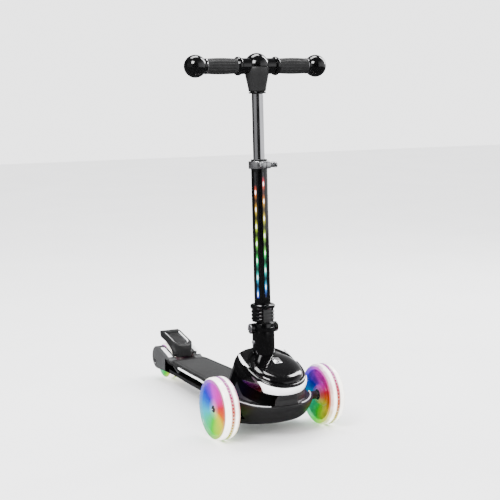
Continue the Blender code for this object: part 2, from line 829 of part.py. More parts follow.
def clamp_line():
    outer = STEM_RADIUS + GAP + CLAMP_WALL
    return (0, -outer - 0.0055, (CLAMP_START + CLAMP_END) / 2 - 0.0015)


def clamp_bolt():
    """The cross bolt, with a hex head on the left and a cam post on the right."""
    face = 0.0095 + GAP
    head = rod("clamp_bolt", 0.0052, 0.0045, 6, "X")
    head.transform(Matrix.Translation((-face - 0.00225, 0, 0)))
    bolt = piece("clamp_bolt", head, STEEL, STEM, clamp_line())
    start = -face - 0.0017
    end = LEVER_PIVOT_X + 0.0020
    shank = rod("clamp_shank", CLAMP_BOLT_RADIUS, end - start, 16, "X")
    shank.transform(Matrix.Translation(((start + end) / 2, 0, 0)))
    combine(bolt, hidden_tool("clamp_shank", shank, STEM, clamp_line()), "UNION")
    return bolt


def lever_pivot():
    x, y, z = clamp_line()
    return (x + LEVER_PIVOT_X, y, z)


def clamp_lever():
    """The cam lever, which folds back along the right of the band."""
    hub = rod("clamp_lever", LEVER_HUB_RADIUS, 0.0090)
    lever = piece("clamp_lever", hub, SATIN, STEM, lever_pivot())
    x, y, _ = lever_pivot()
    inner = STEM_RADIUS + GAP + CLAMP_WALL + 0.0008 - x
    blade = block("lever_blade", (inner, -0.002, -0.0042), (inner + 0.0045, 0.046, 0.0042))
    combine(lever, hidden_tool("lever_blade", blade, STEM, lever_pivot()), "UNION")
    tall = CLAMP_BOLT_RADIUS + GAP
    reach = LEVER_HUB_RADIUS + 0.002
    room = block("lever_room", (-reach, -reach, -tall), (inner - 0.0002, tall + 0.0003, tall))
    combine(lever, hidden_tool("lever_room", room, STEM, lever_pivot()))
    return lever


# ---------------------------------------------------------------- handlebar
def inner_tube():
    top = TEE_START + 0.026
    profile = ring(INNER_TUBE_RADIUS, INNER_TUBE_RADIUS - 0.0015, INNER_TUBE_START, top)
    return turned("inner_tube", [(r, z - BAR_HEIGHT) for r, z in profile], CHROME, BAR)


def tube_bush():
    """The plastic sleeve that centres the inner tube in the top of the stem."""
    inner = INNER_TUBE_RADIUS + GAP
    plug = STEM_RADIUS - STEM_WALL - GAP
    top = STEM_END + 0.0028
    profile = [(STEM_RADIUS, top), (STEM_RADIUS, STEM_END + GAP), (plug, STEM_END + GAP)]
    profile += [(plug, STEM_END - 0.050), (inner, STEM_END - 0.050), (inner, top)]
    return turned("tube_bush", profile, SATIN, STEM)


def tee_head():
    top = TEE_TOP - 0.0095
    stages = ((TEE_RADIUS - 0.0006, top), (TEE_RADIUS, BAR_HEIGHT + 0.004))
    stages += ((TEE_RADIUS, BAR_HEIGHT - 0.006), (TEE_RADIUS - 0.0022, BAR_HEIGHT - 0.018))
    stages += ((TEE_FOOT_RADIUS + 0.0015, TEE_START + 0.014), (TEE_FOOT_RADIUS, TEE_START + 0.004))
    stages += ((TEE_FOOT_RADIUS - 0.0008, TEE_START),)
    profile = [(0, top)] + list(stages) + [(0, TEE_START)]
    head = turned("tee_head", [(r, z - BAR_HEIGHT) for r, z in profile], SATIN, BAR)
    combine(head, cross_bore("bar_bore", BAR_RADIUS + GAP, 0.08, BAR, (0, 0, 0), ROUND))
    deep = rod("inner_tube_bore", INNER_TUBE_RADIUS + GAP, 0.0563)
    deep.transform(Matrix.Translation((0, 0, TEE_START - 0.0018 - BAR_HEIGHT)))
    combine(head, hidden_tool("inner_tube_bore", deep, BAR))
    return head


def dome_cap():
    """The glossy dome over the top of the tee."""
    seat = TEE_TOP - 0.0095 + GAP - BAR_HEIGHT
    height = 0.0095 - GAP
    radius = TEE_RADIUS - 0.0004
    profile = []
    for i in range(7):
        turn = math.radians(15 * i)
        profile.append((radius * math.sin(turn), seat + 0.0012 + (height - 0.0012) * math.cos(turn)))
    profile += [(radius, seat), (0, seat)]
    return turned("dome_cap", profile, GLOSS, BAR)


def bar_tube():
    half = BALL_X - 0.006
    return turned(
        "bar_tube",
        ring(BAR_RADIUS, BAR_RADIUS - 0.0015, -half, half),
        STEEL,
        BAR,
        (0, 0, 0),
        (0, math.pi / 2, 0),
    )


def grip(side, sign):
    """A barrel-shaped grip with a flange at its inner end."""
    bore = BAR_RADIUS + GAP
    length = GRIP_END - GRIP_START
    profile = []
    for i in range(6):
        t = i / 5
        swell = 0.0012 * math.sin(math.pi * t)
        profile.append((GRIP_RADIUS - 0.0012 + swell, GRIP_END - GAP - t * (length - 0.008)))
    flange = GRIP_RADIUS + 0.0022
    profile += [(flange - 0.0006, GRIP_START + 0.0070), (flange, GRIP_START + 0.0055)]
    profile += [(flange, GRIP_START + 0.0020), (flange - 0.0012, GRIP_START)]
    profile += [(bore, GRIP_START), (bore, GRIP_END - GAP)]
    turn = (0, sign * math.pi / 2, 0)
    return turned("grip_" + side, profile, RUBBER, BAR, (0, 0, 0), turn)


def ball_end(side, sign):
    """The glossy ball at the end of the bar, with a short neck bored to fit over it."""
    bore = BAR_RADIUS + GAP
    flat = GRIP_END + GAP - BALL_X
    start = math.pi - math.asin(BALL_NECK_RADIUS / BALL_RADIUS)
    profile = []
    steps = 9
    for i in range(steps + 1):
        turn = start * i / steps
        profile.append((BALL_RADIUS * math.sin(turn), BALL_RADIUS * math.cos(turn)))
    hole = -0.005
    profile += [(BALL_NECK_RADIUS, flat), (bore, flat), (bore, hole), (0, hole)]
    turn = (0, sign * math.pi / 2, 0)
    return turned("ball_end_" + side, profile, GLOSS, BAR, (sign * BALL_X, 0, 0), turn)


# ---------------------------------------------------------------- front wheels and steering
def wheel_core_profile(outer, half_width, lip_side):
    """A core with a bearing bore from the inside; its outer face is closed round the hub cap."""
    bore = BEARING_RADIUS + GAP
    hole = HUB_CAP_RADIUS + GAP
    face = half_width - 0.0030
    hub = half_width - 0.0042
    profile = [(hole, hub), (0.016, hub), (0.030, face - 0.001), (outer - 0.004, face)]
    profile += [(outer, face - 0.0020), (outer, -face + 0.0020), (outer - 0.006, -face)]
    profile += [(0.022, -face + 0.0060), (0.017, -face)]
    profile += [(bore, -face), (bore, lip_side), (hole, lip_side)]
    return profile


def tyre_profile(radius, depth, half_width):
    """A crowned tyre with a shallow groove round the middle of its tread."""
    shoulder = 0.0030
    inner = radius - depth + GAP
    crown = 0.0016
    profile = [(inner, half_width - 0.0012), (inner + 0.001, half_width)]
    profile += [(radius - shoulder - crown, half_width), (radius - crown, half_width - shoulder)]
    profile += [(radius, half_width * 0.30), (radius - 0.0008, half_width * 0.10)]
    profile += [(radius - 0.0008, -half_width * 0.10), (radius, -half_width * 0.30)]
    profile += [(radius - crown, shoulder - half_width), (radius - shoulder - crown, -half_width)]
    profile += [(inner + 0.001, -half_width), (inner, 0.0012 - half_width)]
    return profile


def bearing(name, parent, low):
    profile = ring(BEARING_RADIUS, AXLE_RADIUS + GAP, low, low + BEARING_WIDTH)
    return turned(name, profile, STEEL, parent, sides=18)


def front_wheel(side):
    frame = WHEEL_FRAMES[side]
    half = FRONT_WHEEL_WIDTH / 2
    outer = FRONT_WHEEL_RADIUS - TYRE_DEPTH
    lip = half - 0.0062
    core = wheel_core_profile(outer, half, lip)
    turned("core_" + side, core, CORE, frame, sides=WHEEL_SIDES)
    tyre = tyre_profile(FRONT_WHEEL_RADIUS, TYRE_DEPTH, half)
    turned("tyre_" + side, tyre, URETHANE, frame, sides=WHEEL_SIDES)
    bearing("bearing_outer_" + side, frame, lip - GAP - BEARING_WIDTH)
    bearing("bearing_inner_" + side, frame, -half + 0.0030)
    hub = half - 0.0042
    cap = [(0, hub + 0.0022), (0.0052, hub + 0.0018), (0.0070, hub + GAP + 0.0002)]
    cap += [(0.0070, hub + GAP), (HUB_CAP_RADIUS, hub + GAP), (HUB_CAP_RADIUS, lip + GAP)]
    cap += [(0, lip + GAP)]
    turned("hub_cap_" + side, cap, SILVER, frame, sides=18)


def knuckle(side, sign):
    """The steering knuckle: a barrel on the kingpin, a stub for the wheel and a steering arm."""
    frame = KNUCKLE_FRAMES[side]
    barrel = rod("knuckle_" + side, BARREL_RADIUS, BARREL_LENGTH)
    body = piece("knuckle_" + side, barrel, SATIN, frame)
    start = KINGPIN_X + BARREL_RADIUS - 0.0015
    boss_end = TRACK / 2 - FRONT_WHEEL_WIDTH / 2 - 0.0016
    seat = TRACK / 2 - FRONT_WHEEL_WIDTH / 2 + 0.0030 - GAP
    for name, radius, low, high in (
        ("stub_boss_", 0.0080, start, boss_end),
        ("stub_seat_", 0.0058, start + 0.002, seat),
    ):
        mesh = rod(name + side, radius, high - low, along="X")
        mesh.transform(Matrix.Translation((sign * (high + low) / 2, 0, FRONT_WHEEL_RADIUS)))
        combine(body, hidden_tool(name + side, mesh, ROOT), "UNION")
    eye_radius = 0.0052
    reach = STEER_ARM
    arm = block("steer_arm_" + side, (-0.004, 0, -0.003), (0.004, reach, 0.003))
    combine(body, hidden_tool("steer_arm_" + side, arm, frame), "UNION")
    eye = rod("steer_eye_" + side, eye_radius, 0.006)
    combine(body, hidden_tool("steer_eye_" + side, eye, frame, (0, reach, 0)), "UNION")
    pin_hole = rod("steer_hole_" + side, 0.0022 + GAP, 0.02, FINE)
    combine(body, hidden_tool("steer_hole_" + side, pin_hole, frame, (0, reach, 0)))
    barrel_bore = rod("barrel_bore_" + side, KINGPIN_RADIUS + GAP, 0.05, FINE)
    combine(body, hidden_tool("barrel_bore_" + side, barrel_bore, frame))
    long = 0.030
    bore = rod("axle_bore_" + side, AXLE_RADIUS + GAP, long, FINE, "X")
    place = (sign * (start + 0.003 + long / 2), 0, FRONT_WHEEL_RADIUS)
    combine(body, hidden_tool("axle_bore_" + side, bore, ROOT, place))
    return body


def front_axle(side):
    """The wheel bolt, from inside the knuckle's stub to the outer bearing."""
    half = FRONT_WHEEL_WIDTH / 2
    top = half - 0.0062 - 2 * GAP
    start = KINGPIN_X + BARREL_RADIUS + 0.0015 + GAP
    low = start - TRACK / 2
    profile = [(0, top), (AXLE_RADIUS, top), (AXLE_RADIUS, low), (0, low)]
    return turned("front_axle_" + side, profile, STEEL, WHEEL_FRAMES[side], sides=FINE)


def kingpin(side):
    """The inclined pivot, seated in the floor of the nose, with a head over its bush."""
    half = BARREL_LENGTH / 2
    seat = half + GAP + 0.0040 + GAP
    head = seat + 0.0030
    low = -0.0235
    profile = [(0, head), (0.0045, head), (0.0055, head - 0.0008), (0.0055, seat)]
    profile += [(KINGPIN_RADIUS, seat), (KINGPIN_RADIUS, low), (0, low)]
    return turned("kingpin_" + side, profile, STEEL, KNUCKLE_FRAMES[side], sides=FINE)


def steer_bush(side):
    """The rubber bush that brings the wheel back to straight ahead."""
    low = BARREL_LENGTH / 2 + GAP
    profile = ring(0.0056, KINGPIN_RADIUS + GAP, low, low + 0.0040)
    return turned("steer_bush_" + side, profile, RUBBER, KNUCKLE_FRAMES[side], sides=FINE)


def tie_rod():
    """The rod that keeps both knuckles parallel, pinned to the left one."""
    frame = KNUCKLE_FRAMES["left"]
    across = 2 * KINGPIN_X
    lift = 0.0068
    bar = rod("tie_rod", TIE_ROD_RADIUS, across + 0.004, 16, "X")
    bar.transform(Matrix.Translation((across / 2, 0, lift)))
    link = piece("tie_rod", bar, STEEL, frame, (0, STEER_ARM, 0))
    for side, x in (("left", 0.0), ("right", across)):
        pin = rod("tie_pin_" + side, 0.0022, 0.0095, FINE)
        pin.transform(Matrix.Translation((x, 0, lift - 0.0050)))
        combine(link, hidden_tool("tie_pin_" + side, pin, frame, (0, STEER_ARM, 0)), "UNION")
    return link


# ---------------------------------------------------------------- rear wheel and brake
def rear_wheel():
    turn = (0, math.pi / 2, 0)
    half = REAR_WHEEL_WIDTH / 2
    depth = 0.0080
    outer = REAR_WHEEL_RADIUS - depth
    bore = BEARING_RADIUS + GAP
    face = half - 0.0020
    core = [(bore, face), (0.014, face), (0.017, face - 0.004), (outer - 0.005, face - 0.003)]
    core += [(outer, face - 0.001), (outer, -face + 0.001), (outer - 0.005, -face + 0.003)]
    core += [(0.017, -face + 0.004), (0.014, -face), (bore, -face)]
    wheel = frame_empty("rear_wheel_axis", REAR, (0, 0, 0), turn)
    turned("rear_core", core, CORE, wheel, sides=WHEEL_SIDES)
    tyre = tyre_profile(REAR_WHEEL_RADIUS, depth, half)
    turned("rear_tyre", tyre, URETHANE, wheel, sides=WHEEL_SIDES)
    bearing("rear_bearing_left", wheel, -face)
    bearing("rear_bearing_right", wheel, face - BEARING_WIDTH)


def rear_axle():
    """The through bolt, with its heads sunk in the arms."""
    outer = ARM_INNER + ARM_THICKNESS
    top = outer - 0.0005
    under = outer - 0.004 + GAP
    profile = [(0, top), (0.0060, top), (0.0070, top - 0.0010), (0.0070, under)]
    profile += [(AXLE_RADIUS, under), (AXLE_RADIUS, -under), (0.0070, -under)]
    profile += [(0.0070, 0.0010 - top), (0.0060, -top), (0, -top)]
    return turned("rear_axle", profile, STEEL, REAR, (0, 0, 0), (0, math.pi / 2, 0), FINE)


def fender_outline():
    """Side view of the fender from its foot, over the wheel, to the upturned tail."""
    top = FENDER_TOP - FENDER_PIN_Z
    reach = REAR_WHEEL_RADIUS + BRAKE_GAP
    foot = DECK_TOP + 0.0034 - FENDER_PIN_Z
    points = [(-0.0085, foot), (-0.0095, 0.012), (-0.0050, top - 0.017), (0.0080, top - 0.0045)]
    points += [(0.026, top), (0.046, top - 0.0035), (0.064, top - 0.0100), (0.080, top - 0.0120)]
    points += [(0.0880, top - 0.0085), (0.0885, top - 0.0125)]
    tail = math.asin(0.30)
    for i in range(6):
        turn = tail - (tail + math.radians(52)) * i / 5
        y = FENDER_PIN_AHEAD + reach * math.sin(turn)
        z = REAR_WHEEL_RADIUS + reach * math.cos(turn) - FENDER_PIN_Z
        points.append((y, z))
    points.append((0.0215, foot + 0.0012))
    return points


def fender_hollow():
    """Side view of the hollow under the fender's skin."""
    top = FENDER_TOP - FENDER_PIN_Z - FENDER_WALL
    low = REAR_WHEEL_RADIUS * 0.6
    points = [(0.020, -0.03), (0.0215, 0.016), (0.0270, top - 0.012), (0.034, top - 0.0060)]
    points += [(0.046, top - 0.0065), (0.062, top - 0.0122), (0.072, top - 0.0150), (0.095, low)]
    points.append((0.10, -0.03))
    return points


def brake_fender():
    mesh = plate("brake_fender", fender_outline(), FENDER_HALF_WIDTH)
    fender = piece("brake_fender", mesh, SATIN, BRAKE)
    round_edges(fender, 0.0022, 2, 50)
    inside = plate("fender_hollow", fender_hollow(), FENDER_HALF_WIDTH - FENDER_WALL)
    combine(fender, hidden_tool("fender_hollow", inside, BRAKE))
    bore = cross_bore("fender_bore", FENDER_PIN_RADIUS + GAP, 0.06, BRAKE, (0, 0, 0), FINE)
    combine(fender, bore)
    slot = block("spring_slot", (-0.0062, -0.0062, -0.02), (0.0062, 0.0062, 0.0066))
    combine(fender, hidden_tool("spring_slot", slot, BRAKE))
    return fender


def fender_strip():
    """The bright strip round the front of the fender's top."""
    top = FENDER_TOP - FENDER_PIN_Z
    lift = 0.0005
    lower = [(-0.0050, top - 0.017), (0.0080, top - 0.0045)]
    raised = [(y - lift, z + lift) for y, z in lower]
    proud = [(y - 0.0018, z + 0.0018) for y, z in reversed(lower)]
    mesh = plate("fender_strip", raised + proud, FENDER_HALF_WIDTH - 0.0060)
    return piece("fender_strip", mesh, SILVER, BRAKE)


def fender_pin():
    half = ARM_INNER + 0.0070
    mesh = rod("fender_pin", FENDER_PIN_RADIUS, 2 * half, 16, "X")
    return piece("fender_pin", mesh, STEEL, BRAKE)


def fender_spring():
    """The return spring, coiled round the fender's pin."""
    wire = 0.0007
    coil_radius = FENDER_PIN_RADIUS + GAP + wire + 0.0009
    turns = 3
    pitch = 0.0030
    curve = bpy.data.curves.new("fender_spring", "CURVE")
    curve.dimensions = "3D"
    curve.bevel_depth = wire
    curve.bevel_resolution = 1
    curve.use_fill_caps = True
    spline = curve.splines.new("POLY")
    count = 8 * turns + 1
    spline.points.add(count - 1)
    for i, knot in enumerate(spline.points):
        turn = 2 * math.pi * i / 8
        x = pitch * (i / 8 - turns / 2)
        knot.co = (x, coil_radius * math.cos(turn), coil_radius * math.sin(turn), 1)
    curve.materials.append(STEEL)
    spring = bpy.data.objects.new("fender_spring", curve)
    PARTS.objects.link(spring)
    mount(spring, BRAKE, (0, 0, 0), (0, 0, 0))
    return spring


# ---------------------------------------------------------------- assembly
def build():
    deck_frame()
    grip_mat()
    head_cover()
    head_puck()
    crescent_light()
    battery_box()
    stem_socket()
    fold_pin()
    lock_button()
    stem_foot()
    stem_tube()
    lock_collar()
    for side, turn in led_turns():
        led_strip(side, turn)
    clamp_band()
    clamp_bolt()
    clamp_lever()
    tube_bush()
    inner_tube()
    tee_head()
    dome_cap()
    bar_tube()
    for side, sign in SIDES:
        side_trim(side, sign)
        tail_strip(side, sign)
        grip(side, sign)
        ball_end(side, sign)
        front_wheel(side)
        front_axle(side)
        knuckle(side, sign)
        kingpin(side)
        steer_bush(side)
    tie_rod()
    rear_wheel()
    rear_axle()
    brake_fender()
    fender_strip()
    fender_pin()
    fender_spring()


build()
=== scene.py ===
"""Finished look of a three-wheel light-up kick scooter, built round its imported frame.

Pieces are laid out from the front axle line, then carried to the frame's place. The stem's
pieces are laid out along the leaning stem, from the fold pin up.
"""

import json
import math

import bmesh
import bpy
from mathutils import Matrix, Vector


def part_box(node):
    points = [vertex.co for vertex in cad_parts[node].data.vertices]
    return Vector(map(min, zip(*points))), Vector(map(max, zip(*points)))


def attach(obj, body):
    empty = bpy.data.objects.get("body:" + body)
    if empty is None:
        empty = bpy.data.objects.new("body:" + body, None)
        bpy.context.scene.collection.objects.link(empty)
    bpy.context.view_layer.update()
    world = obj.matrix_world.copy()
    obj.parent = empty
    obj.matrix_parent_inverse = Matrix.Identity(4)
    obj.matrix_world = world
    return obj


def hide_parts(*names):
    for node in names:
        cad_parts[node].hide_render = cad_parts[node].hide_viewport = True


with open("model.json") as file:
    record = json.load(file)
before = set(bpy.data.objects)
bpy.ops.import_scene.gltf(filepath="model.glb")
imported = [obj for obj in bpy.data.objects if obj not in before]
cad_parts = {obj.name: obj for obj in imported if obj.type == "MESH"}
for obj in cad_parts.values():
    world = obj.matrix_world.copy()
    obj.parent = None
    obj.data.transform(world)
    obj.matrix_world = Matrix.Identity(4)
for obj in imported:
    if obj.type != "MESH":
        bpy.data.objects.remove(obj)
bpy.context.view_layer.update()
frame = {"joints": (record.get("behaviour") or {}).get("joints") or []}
JOINTS = {joint["name"]: joint for joint in frame["joints"]}


# ---------------------------------------------------------------- places and sizes from the frame
def middle(node):
    low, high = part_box(node)
    return (low + high) / 2


def size(node):
    low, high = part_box(node)
    return high - low


AXLE_Y = middle("tyre_left").y
WHEEL_R = size("tyre_left").z / 2
WHEEL_W = size("tyre_left").x
REAR_Y = middle("rear_tyre").y - AXLE_Y  # behind the front axle line
REAR_R = size("rear_tyre").z / 2
REAR_W = size("rear_tyre").x
FOLD_PIN = Vector(JOINTS["stem_fold"]["pos_m"])
STEM_AXIS = Vector(JOINTS["bar_slide"]["axis"])
FENDER_PIN = Vector(JOINTS["brake_press"]["pos_m"])

ROOT = Matrix.Translation((0, AXLE_Y, 0))
LEAN = math.atan2(STEM_AXIS.y, STEM_AXIS.z)
STEM = Matrix.Translation(FOLD_PIN) @ Matrix.Rotation(-LEAN, 4, "X")
BAR_HEIGHT = 0.5013
BAR = STEM @ Matrix.Translation((0, 0, BAR_HEIGHT))
BRAKE = Matrix.Translation(FENDER_PIN)
ALONG_X = Matrix.Rotation(math.pi / 2, 4, "Y")

SIDES = (("left", -1), ("right", 1))
FINE_SIDES = 96
NO_TURN = (0, 0, 0)


# ---------------------------------------------------------------- mesh makers
def build_mesh(name, corners, faces, place=ROOT, sharp=35, recalc=True):
    mesh = bpy.data.meshes.new(name)
    mesh.from_pydata([tuple(c) for c in corners], [], faces)
    mesh.transform(place)
    shape = bmesh.new()
    shape.from_mesh(mesh)
    bmesh.ops.remove_doubles(shape, verts=shape.verts, dist=1e-6)
    if recalc:
        bmesh.ops.recalc_face_normals(shape, faces=shape.faces)
    shape.to_mesh(mesh)
    shape.free()
    mesh.shade_smooth()
    mesh.set_sharp_from_angle(angle=math.radians(sharp))
    thing = bpy.data.objects.new(name, mesh)
    bpy.context.scene.collection.objects.link(thing)
    return thing


def rounded(points, radius, steps=4, closed=False):
    """The outline with each corner turned into a short curve."""
    count = len(points)
    made = []
    for i, (a, b) in enumerate(points):
        if not closed and i in (0, count - 1):
            made.append((a, b))
            continue
        here = Vector((a, b))
        before = Vector(points[i - 1])
        after = Vector(points[(i + 1) % count])
        back = before - here
        ahead = after - here
        reach = min(radius, back.length * 0.45, ahead.length * 0.45)
        start = here + back.normalized() * reach
        end = here + ahead.normalized() * reach
        for k in range(steps + 1):
            t = k / steps
            spot = start * (1 - t) ** 2 + here * 2 * t * (1 - t) + end * t * t
            made.append((spot.x, spot.y))
    return made


def revolve(name, profile, place, sides=FINE_SIDES, wave=None, sharp=35):
    """Turns (radius, height) pairs about the height; wave may move each point by its turn."""
    ring_shape = profile[0][0] > 1e-6
    corners, rows = [], []
    for radius, height in profile:
        if radius < 1e-6:
            rows.append([len(corners)] * sides)
            corners.append(Vector((0, 0, height)))
            continue
        rows.append(list(range(len(corners), len(corners) + sides)))
        for i in range(sides):
            turn = 2 * math.pi * i / sides
            r, h = wave(radius, height, turn) if wave else (radius, height)
            corners.append(Vector((r * math.cos(turn), r * math.sin(turn), h)))
    pairs = list(zip(rows, rows[1:]))
    if ring_shape:
        pairs.append((rows[-1], rows[0]))
    faces = []
    for low, high in pairs:
        for i in range(sides):
            j = (i + 1) % sides
            face = []
            for corner in (low[i], low[j], high[j], high[i]):
                if corner not in face:
                    face.append(corner)
            if len(face) > 2:
                faces.append(face)
    return build_mesh(name, corners, faces, place, sharp)


def loft(name, rings, place=ROOT, sharp=35, capped=True):
    """A skin through rings of equal point count."""
    count = len(rings[0])
    corners = [p for ring in rings for p in ring]
    faces = []
    for level in range(len(rings) - 1):
        for i in range(count):
            j = (i + 1) % count
            low, high = level * count, (level + 1) * count
            faces.append((low + i, low + j, high + j, high + i))
    if capped:
        faces.append(tuple(range(count)))
        faces.append(tuple(range((len(rings) - 1) * count, len(rings) * count)))
    return build_mesh(name, corners, faces, place, sharp)


def plate(name, outline, low_x, high_x, place=ROOT, soft=0.0, steps=3, sharp=35):
    """A side-view outline of (y, z) pairs made solid between two widths, with soft edges."""
    rings = [[Vector((x, y, z)) for y, z in outline] for x in (low_x, high_x)]
    thing = loft(name, rings, place, sharp)
    if soft:
        soften(thing, soft, steps)
    return thing


def settle(thing):
    """Turns the modifiers into plain mesh."""
    bpy.context.view_layer.update()
    graph = bpy.context.evaluated_depsgraph_get()
    mesh = bpy.data.meshes.new_from_object(thing.evaluated_get(graph))
    thing.modifiers.clear()
    thing.data = mesh
    return thing


def soften(thing, width, steps=3, angle=30):
    edge = thing.modifiers.new("soft_edges", "BEVEL")
    edge.width = width
    edge.segments = steps
    edge.limit_method = "ANGLE"
    edge.angle_limit = math.radians(angle)
    settle(thing)
    thing.data.shade_smooth()
    thing.data.set_sharp_from_angle(angle=math.radians(40))
    return thing


def join_solid(thing, tool, operation="DIFFERENCE"):
    step = thing.modifiers.new("join", "BOOLEAN")
    step.operation = operation
    step.solver = "EXACT"
    step.object = tool
    settle(thing)
    bpy.data.objects.remove(tool, do_unlink=True)
    thing.data.shade_smooth()
    thing.data.set_sharp_from_angle(angle=math.radians(35))
    return thing


def box_tool(low, high, place):
    corners = ((low[0], low[1]), (high[0], low[1]), (high[0], high[1]), (low[0], high[1]))
    return loft("tool", [[Vector((x, y, z)) for x, y in corners] for z in (low[2], high[2])], place)


def rod(name, radius, low, high, place, sides=64, soft=0.0):
    profile = [(0, high), (radius, high), (radius, low), (0, low)]
    if soft:
        profile = rounded(profile, soft)
    return revolve(name, profile, place, sides)


def band(name, inner, outer, low, high, soft, place, steps=3, sides=FINE_SIDES):
    """A ring of rectangular section with rounded corners."""
    profile = rounded([(outer, high), (outer, low), (inner, low), (inner, high)], soft, steps, True)
    return revolve(name, profile, place, sides)


def dress(thing, body, slot, finish, *nodes):
    thing.data.materials.clear()
    thing.data.materials.append(finish)
    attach(thing, body)
    if nodes:
        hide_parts(*nodes)
    return thing


def smooth_step(low, high, value):
    t = min(1.0, max(0.0, (value - low) / (high - low)))
    return t * t * (3 - 2 * t)


def blend_value(y, stations):
    """A smooth value along Y through (y, value) stations."""
    if y <= stations[0][0]:
        return stations[0][1]
    for (y0, v0), (y1, v1) in zip(stations, stations[1:]):
        if y <= y1:
            return v0 + (v1 - v0) * smooth_step(y0, y1, y)
    return stations[-1][1]


# ---------------------------------------------------------------- material makers
class Recipe:
    """A principled material with helpers that add its nodes."""

    def __init__(self, name, colour, rough, metal=0.0):
        self.mat = bpy.data.materials.new(name)
        self.mat.use_nodes = True
        self.tree = self.mat.node_tree
        self.shader = self.tree.nodes["Principled BSDF"]
        self.put("Base Color", (*colour, 1.0))
        self.put("Roughness", rough)
        self.put("Metallic", metal)
        self.coords = self.add("ShaderNodeTexCoord").outputs["Object"]

    def put(self, socket, value):
        self.shader.inputs[socket].default_value = value

    def join(self, source, target):
        self.tree.links.new(source, target)

    def add(self, kind, **settings):
        made = self.tree.nodes.new(kind)
        for key, value in settings.items():
            setattr(made, key, value)
        return made

    def math(self, operation, a, b=None):
        step = self.add("ShaderNodeMath", operation=operation)
        for socket, value in zip(step.inputs, (a, b)):
            if value is None:
                continue
            if isinstance(value, (int, float)):
                socket.default_value = value
            else:
                self.join(value, socket)
        return step.outputs[0]

    def stretch(self, scale):
        step = self.add("ShaderNodeMapping")
        step.inputs["Scale"].default_value = scale
        self.join(self.coords, step.inputs["Vector"])
        return step.outputs[0]

    def noise(self, scale, detail=3.0, rough=0.5, stretch=None):
        step = self.add("ShaderNodeTexNoise")
        step.inputs["Scale"].default_value = scale
        step.inputs["Detail"].default_value = detail
        step.inputs["Roughness"].default_value = rough
        self.join(self.stretch(stretch) if stretch else self.coords, step.inputs["Vector"])
        return step.outputs["Fac"]

    def cells(self, scale):
        step = self.add("ShaderNodeTexVoronoi")
        step.inputs["Scale"].default_value = scale
        self.join(self.coords, step.inputs["Vector"])
        return step.outputs["Distance"]

    def span(self, value, low, high, out_low, out_high):
        step = self.add("ShaderNodeMapRange")
        for key, number in (("From Min", low), ("From Max", high), ("To Min", out_low), ("To Max", out_high)):
            step.inputs[key].default_value = number
        self.join(value, step.inputs["Value"])
        return step.outputs[0]

    def ramp(self, value, stops):
        step = self.add("ShaderNodeValToRGB")
        band = step.color_ramp
        while len(band.elements) < len(stops):
            band.elements.new(0.5)
        for element, (spot, colour) in zip(band.elements, stops):
            element.position = spot
            element.color = (*colour, 1.0)
        self.join(value, step.inputs[0])
        return step.outputs[0]

    def mix(self, factor, a, b):
        step = self.add("ShaderNodeMix", data_type="RGBA")
        for key, value in ((0, factor), (6, a), (7, b)):
            if isinstance(value, (int, float)):
                step.inputs[key].default_value = value
            elif isinstance(value, tuple):
                step.inputs[key].default_value = (*value, 1.0)
            else:
                self.join(value, step.inputs[key])
        return step.outputs[2]

    def relief(self, height, strength, distance, under=None):
        step = self.add("ShaderNodeBump")
        step.inputs["Strength"].default_value = strength
        step.inputs["Distance"].default_value = distance
        self.join(height, step.inputs["Height"])
        if under:
            self.join(under, step.inputs["Normal"])
        return step.outputs[0]

    def colour(self, source):
        self.join(source, self.shader.inputs["Base Color"])

    def rough(self, source):
        self.join(source, self.shader.inputs["Roughness"])

    def normal(self, source):
        self.join(source, self.shader.inputs["Normal"])


def moulded(name, dark, light, rough_low, rough_high, grain, depth, coat=0.0, specular=0.5, swell=0.0006):
    """Moulded plastic: colour drift, uneven gloss and a fine grain."""
    r = Recipe(name, dark, rough_low)
    r.colour(r.ramp(r.noise(14.0, 4.0), ((0.3, dark), (0.72, light))))
    r.rough(r.span(r.noise(38.0, 5.0, 0.6), 0.3, 0.7, rough_low, rough_high))
    fine = r.relief(r.noise(grain, 2.0), 0.35, depth)
    broad = r.relief(r.noise(30.0, 1.0), 0.05, swell, fine)
    r.normal(broad)
    r.put("Coat Weight", coat)
    r.put("Coat Roughness", 0.04)
    r.put("Specular IOR Level", specular)
    return r.mat


def metal(name, dark, light, rough_low, rough_high, stretch, scale=260.0):
    """Worked metal: fine lines along the way it was drawn or turned, with slight smudges."""
    r = Recipe(name, light, rough_low, 1.0)
    lines = r.noise(scale, 4.0, 0.6, stretch)
    r.colour(r.mix(r.span(lines, 0.3, 0.7, 0.0, 1.0), dark, light))
    smudge = r.noise(45.0, 5.0)
    r.rough(r.span(smudge, 0.3, 0.75, rough_low, rough_high))
    r.normal(r.relief(lines, 0.12, 0.00008))
    return r.mat


def pebbled_rubber():
    """Dark grey rubber with a leathery pebble and a little dust."""
    r = Recipe("pebbled_rubber", (0.05, 0.051, 0.053), 0.6)
    dust = ((0.35, (0.0070, 0.0071, 0.0074)), (0.75, (0.0125, 0.0126, 0.0130)))
    r.colour(r.ramp(r.noise(60.0, 6.0, 0.7), dust))
    pebbles = r.relief(r.cells(900.0), 0.5, 0.00018)
    r.normal(r.relief(r.noise(2400.0, 2.0), 0.25, 0.00005, pebbles))
    r.rough(r.span(r.noise(80.0, 4.0), 0.3, 0.7, 0.45, 0.66))
    return r.mat


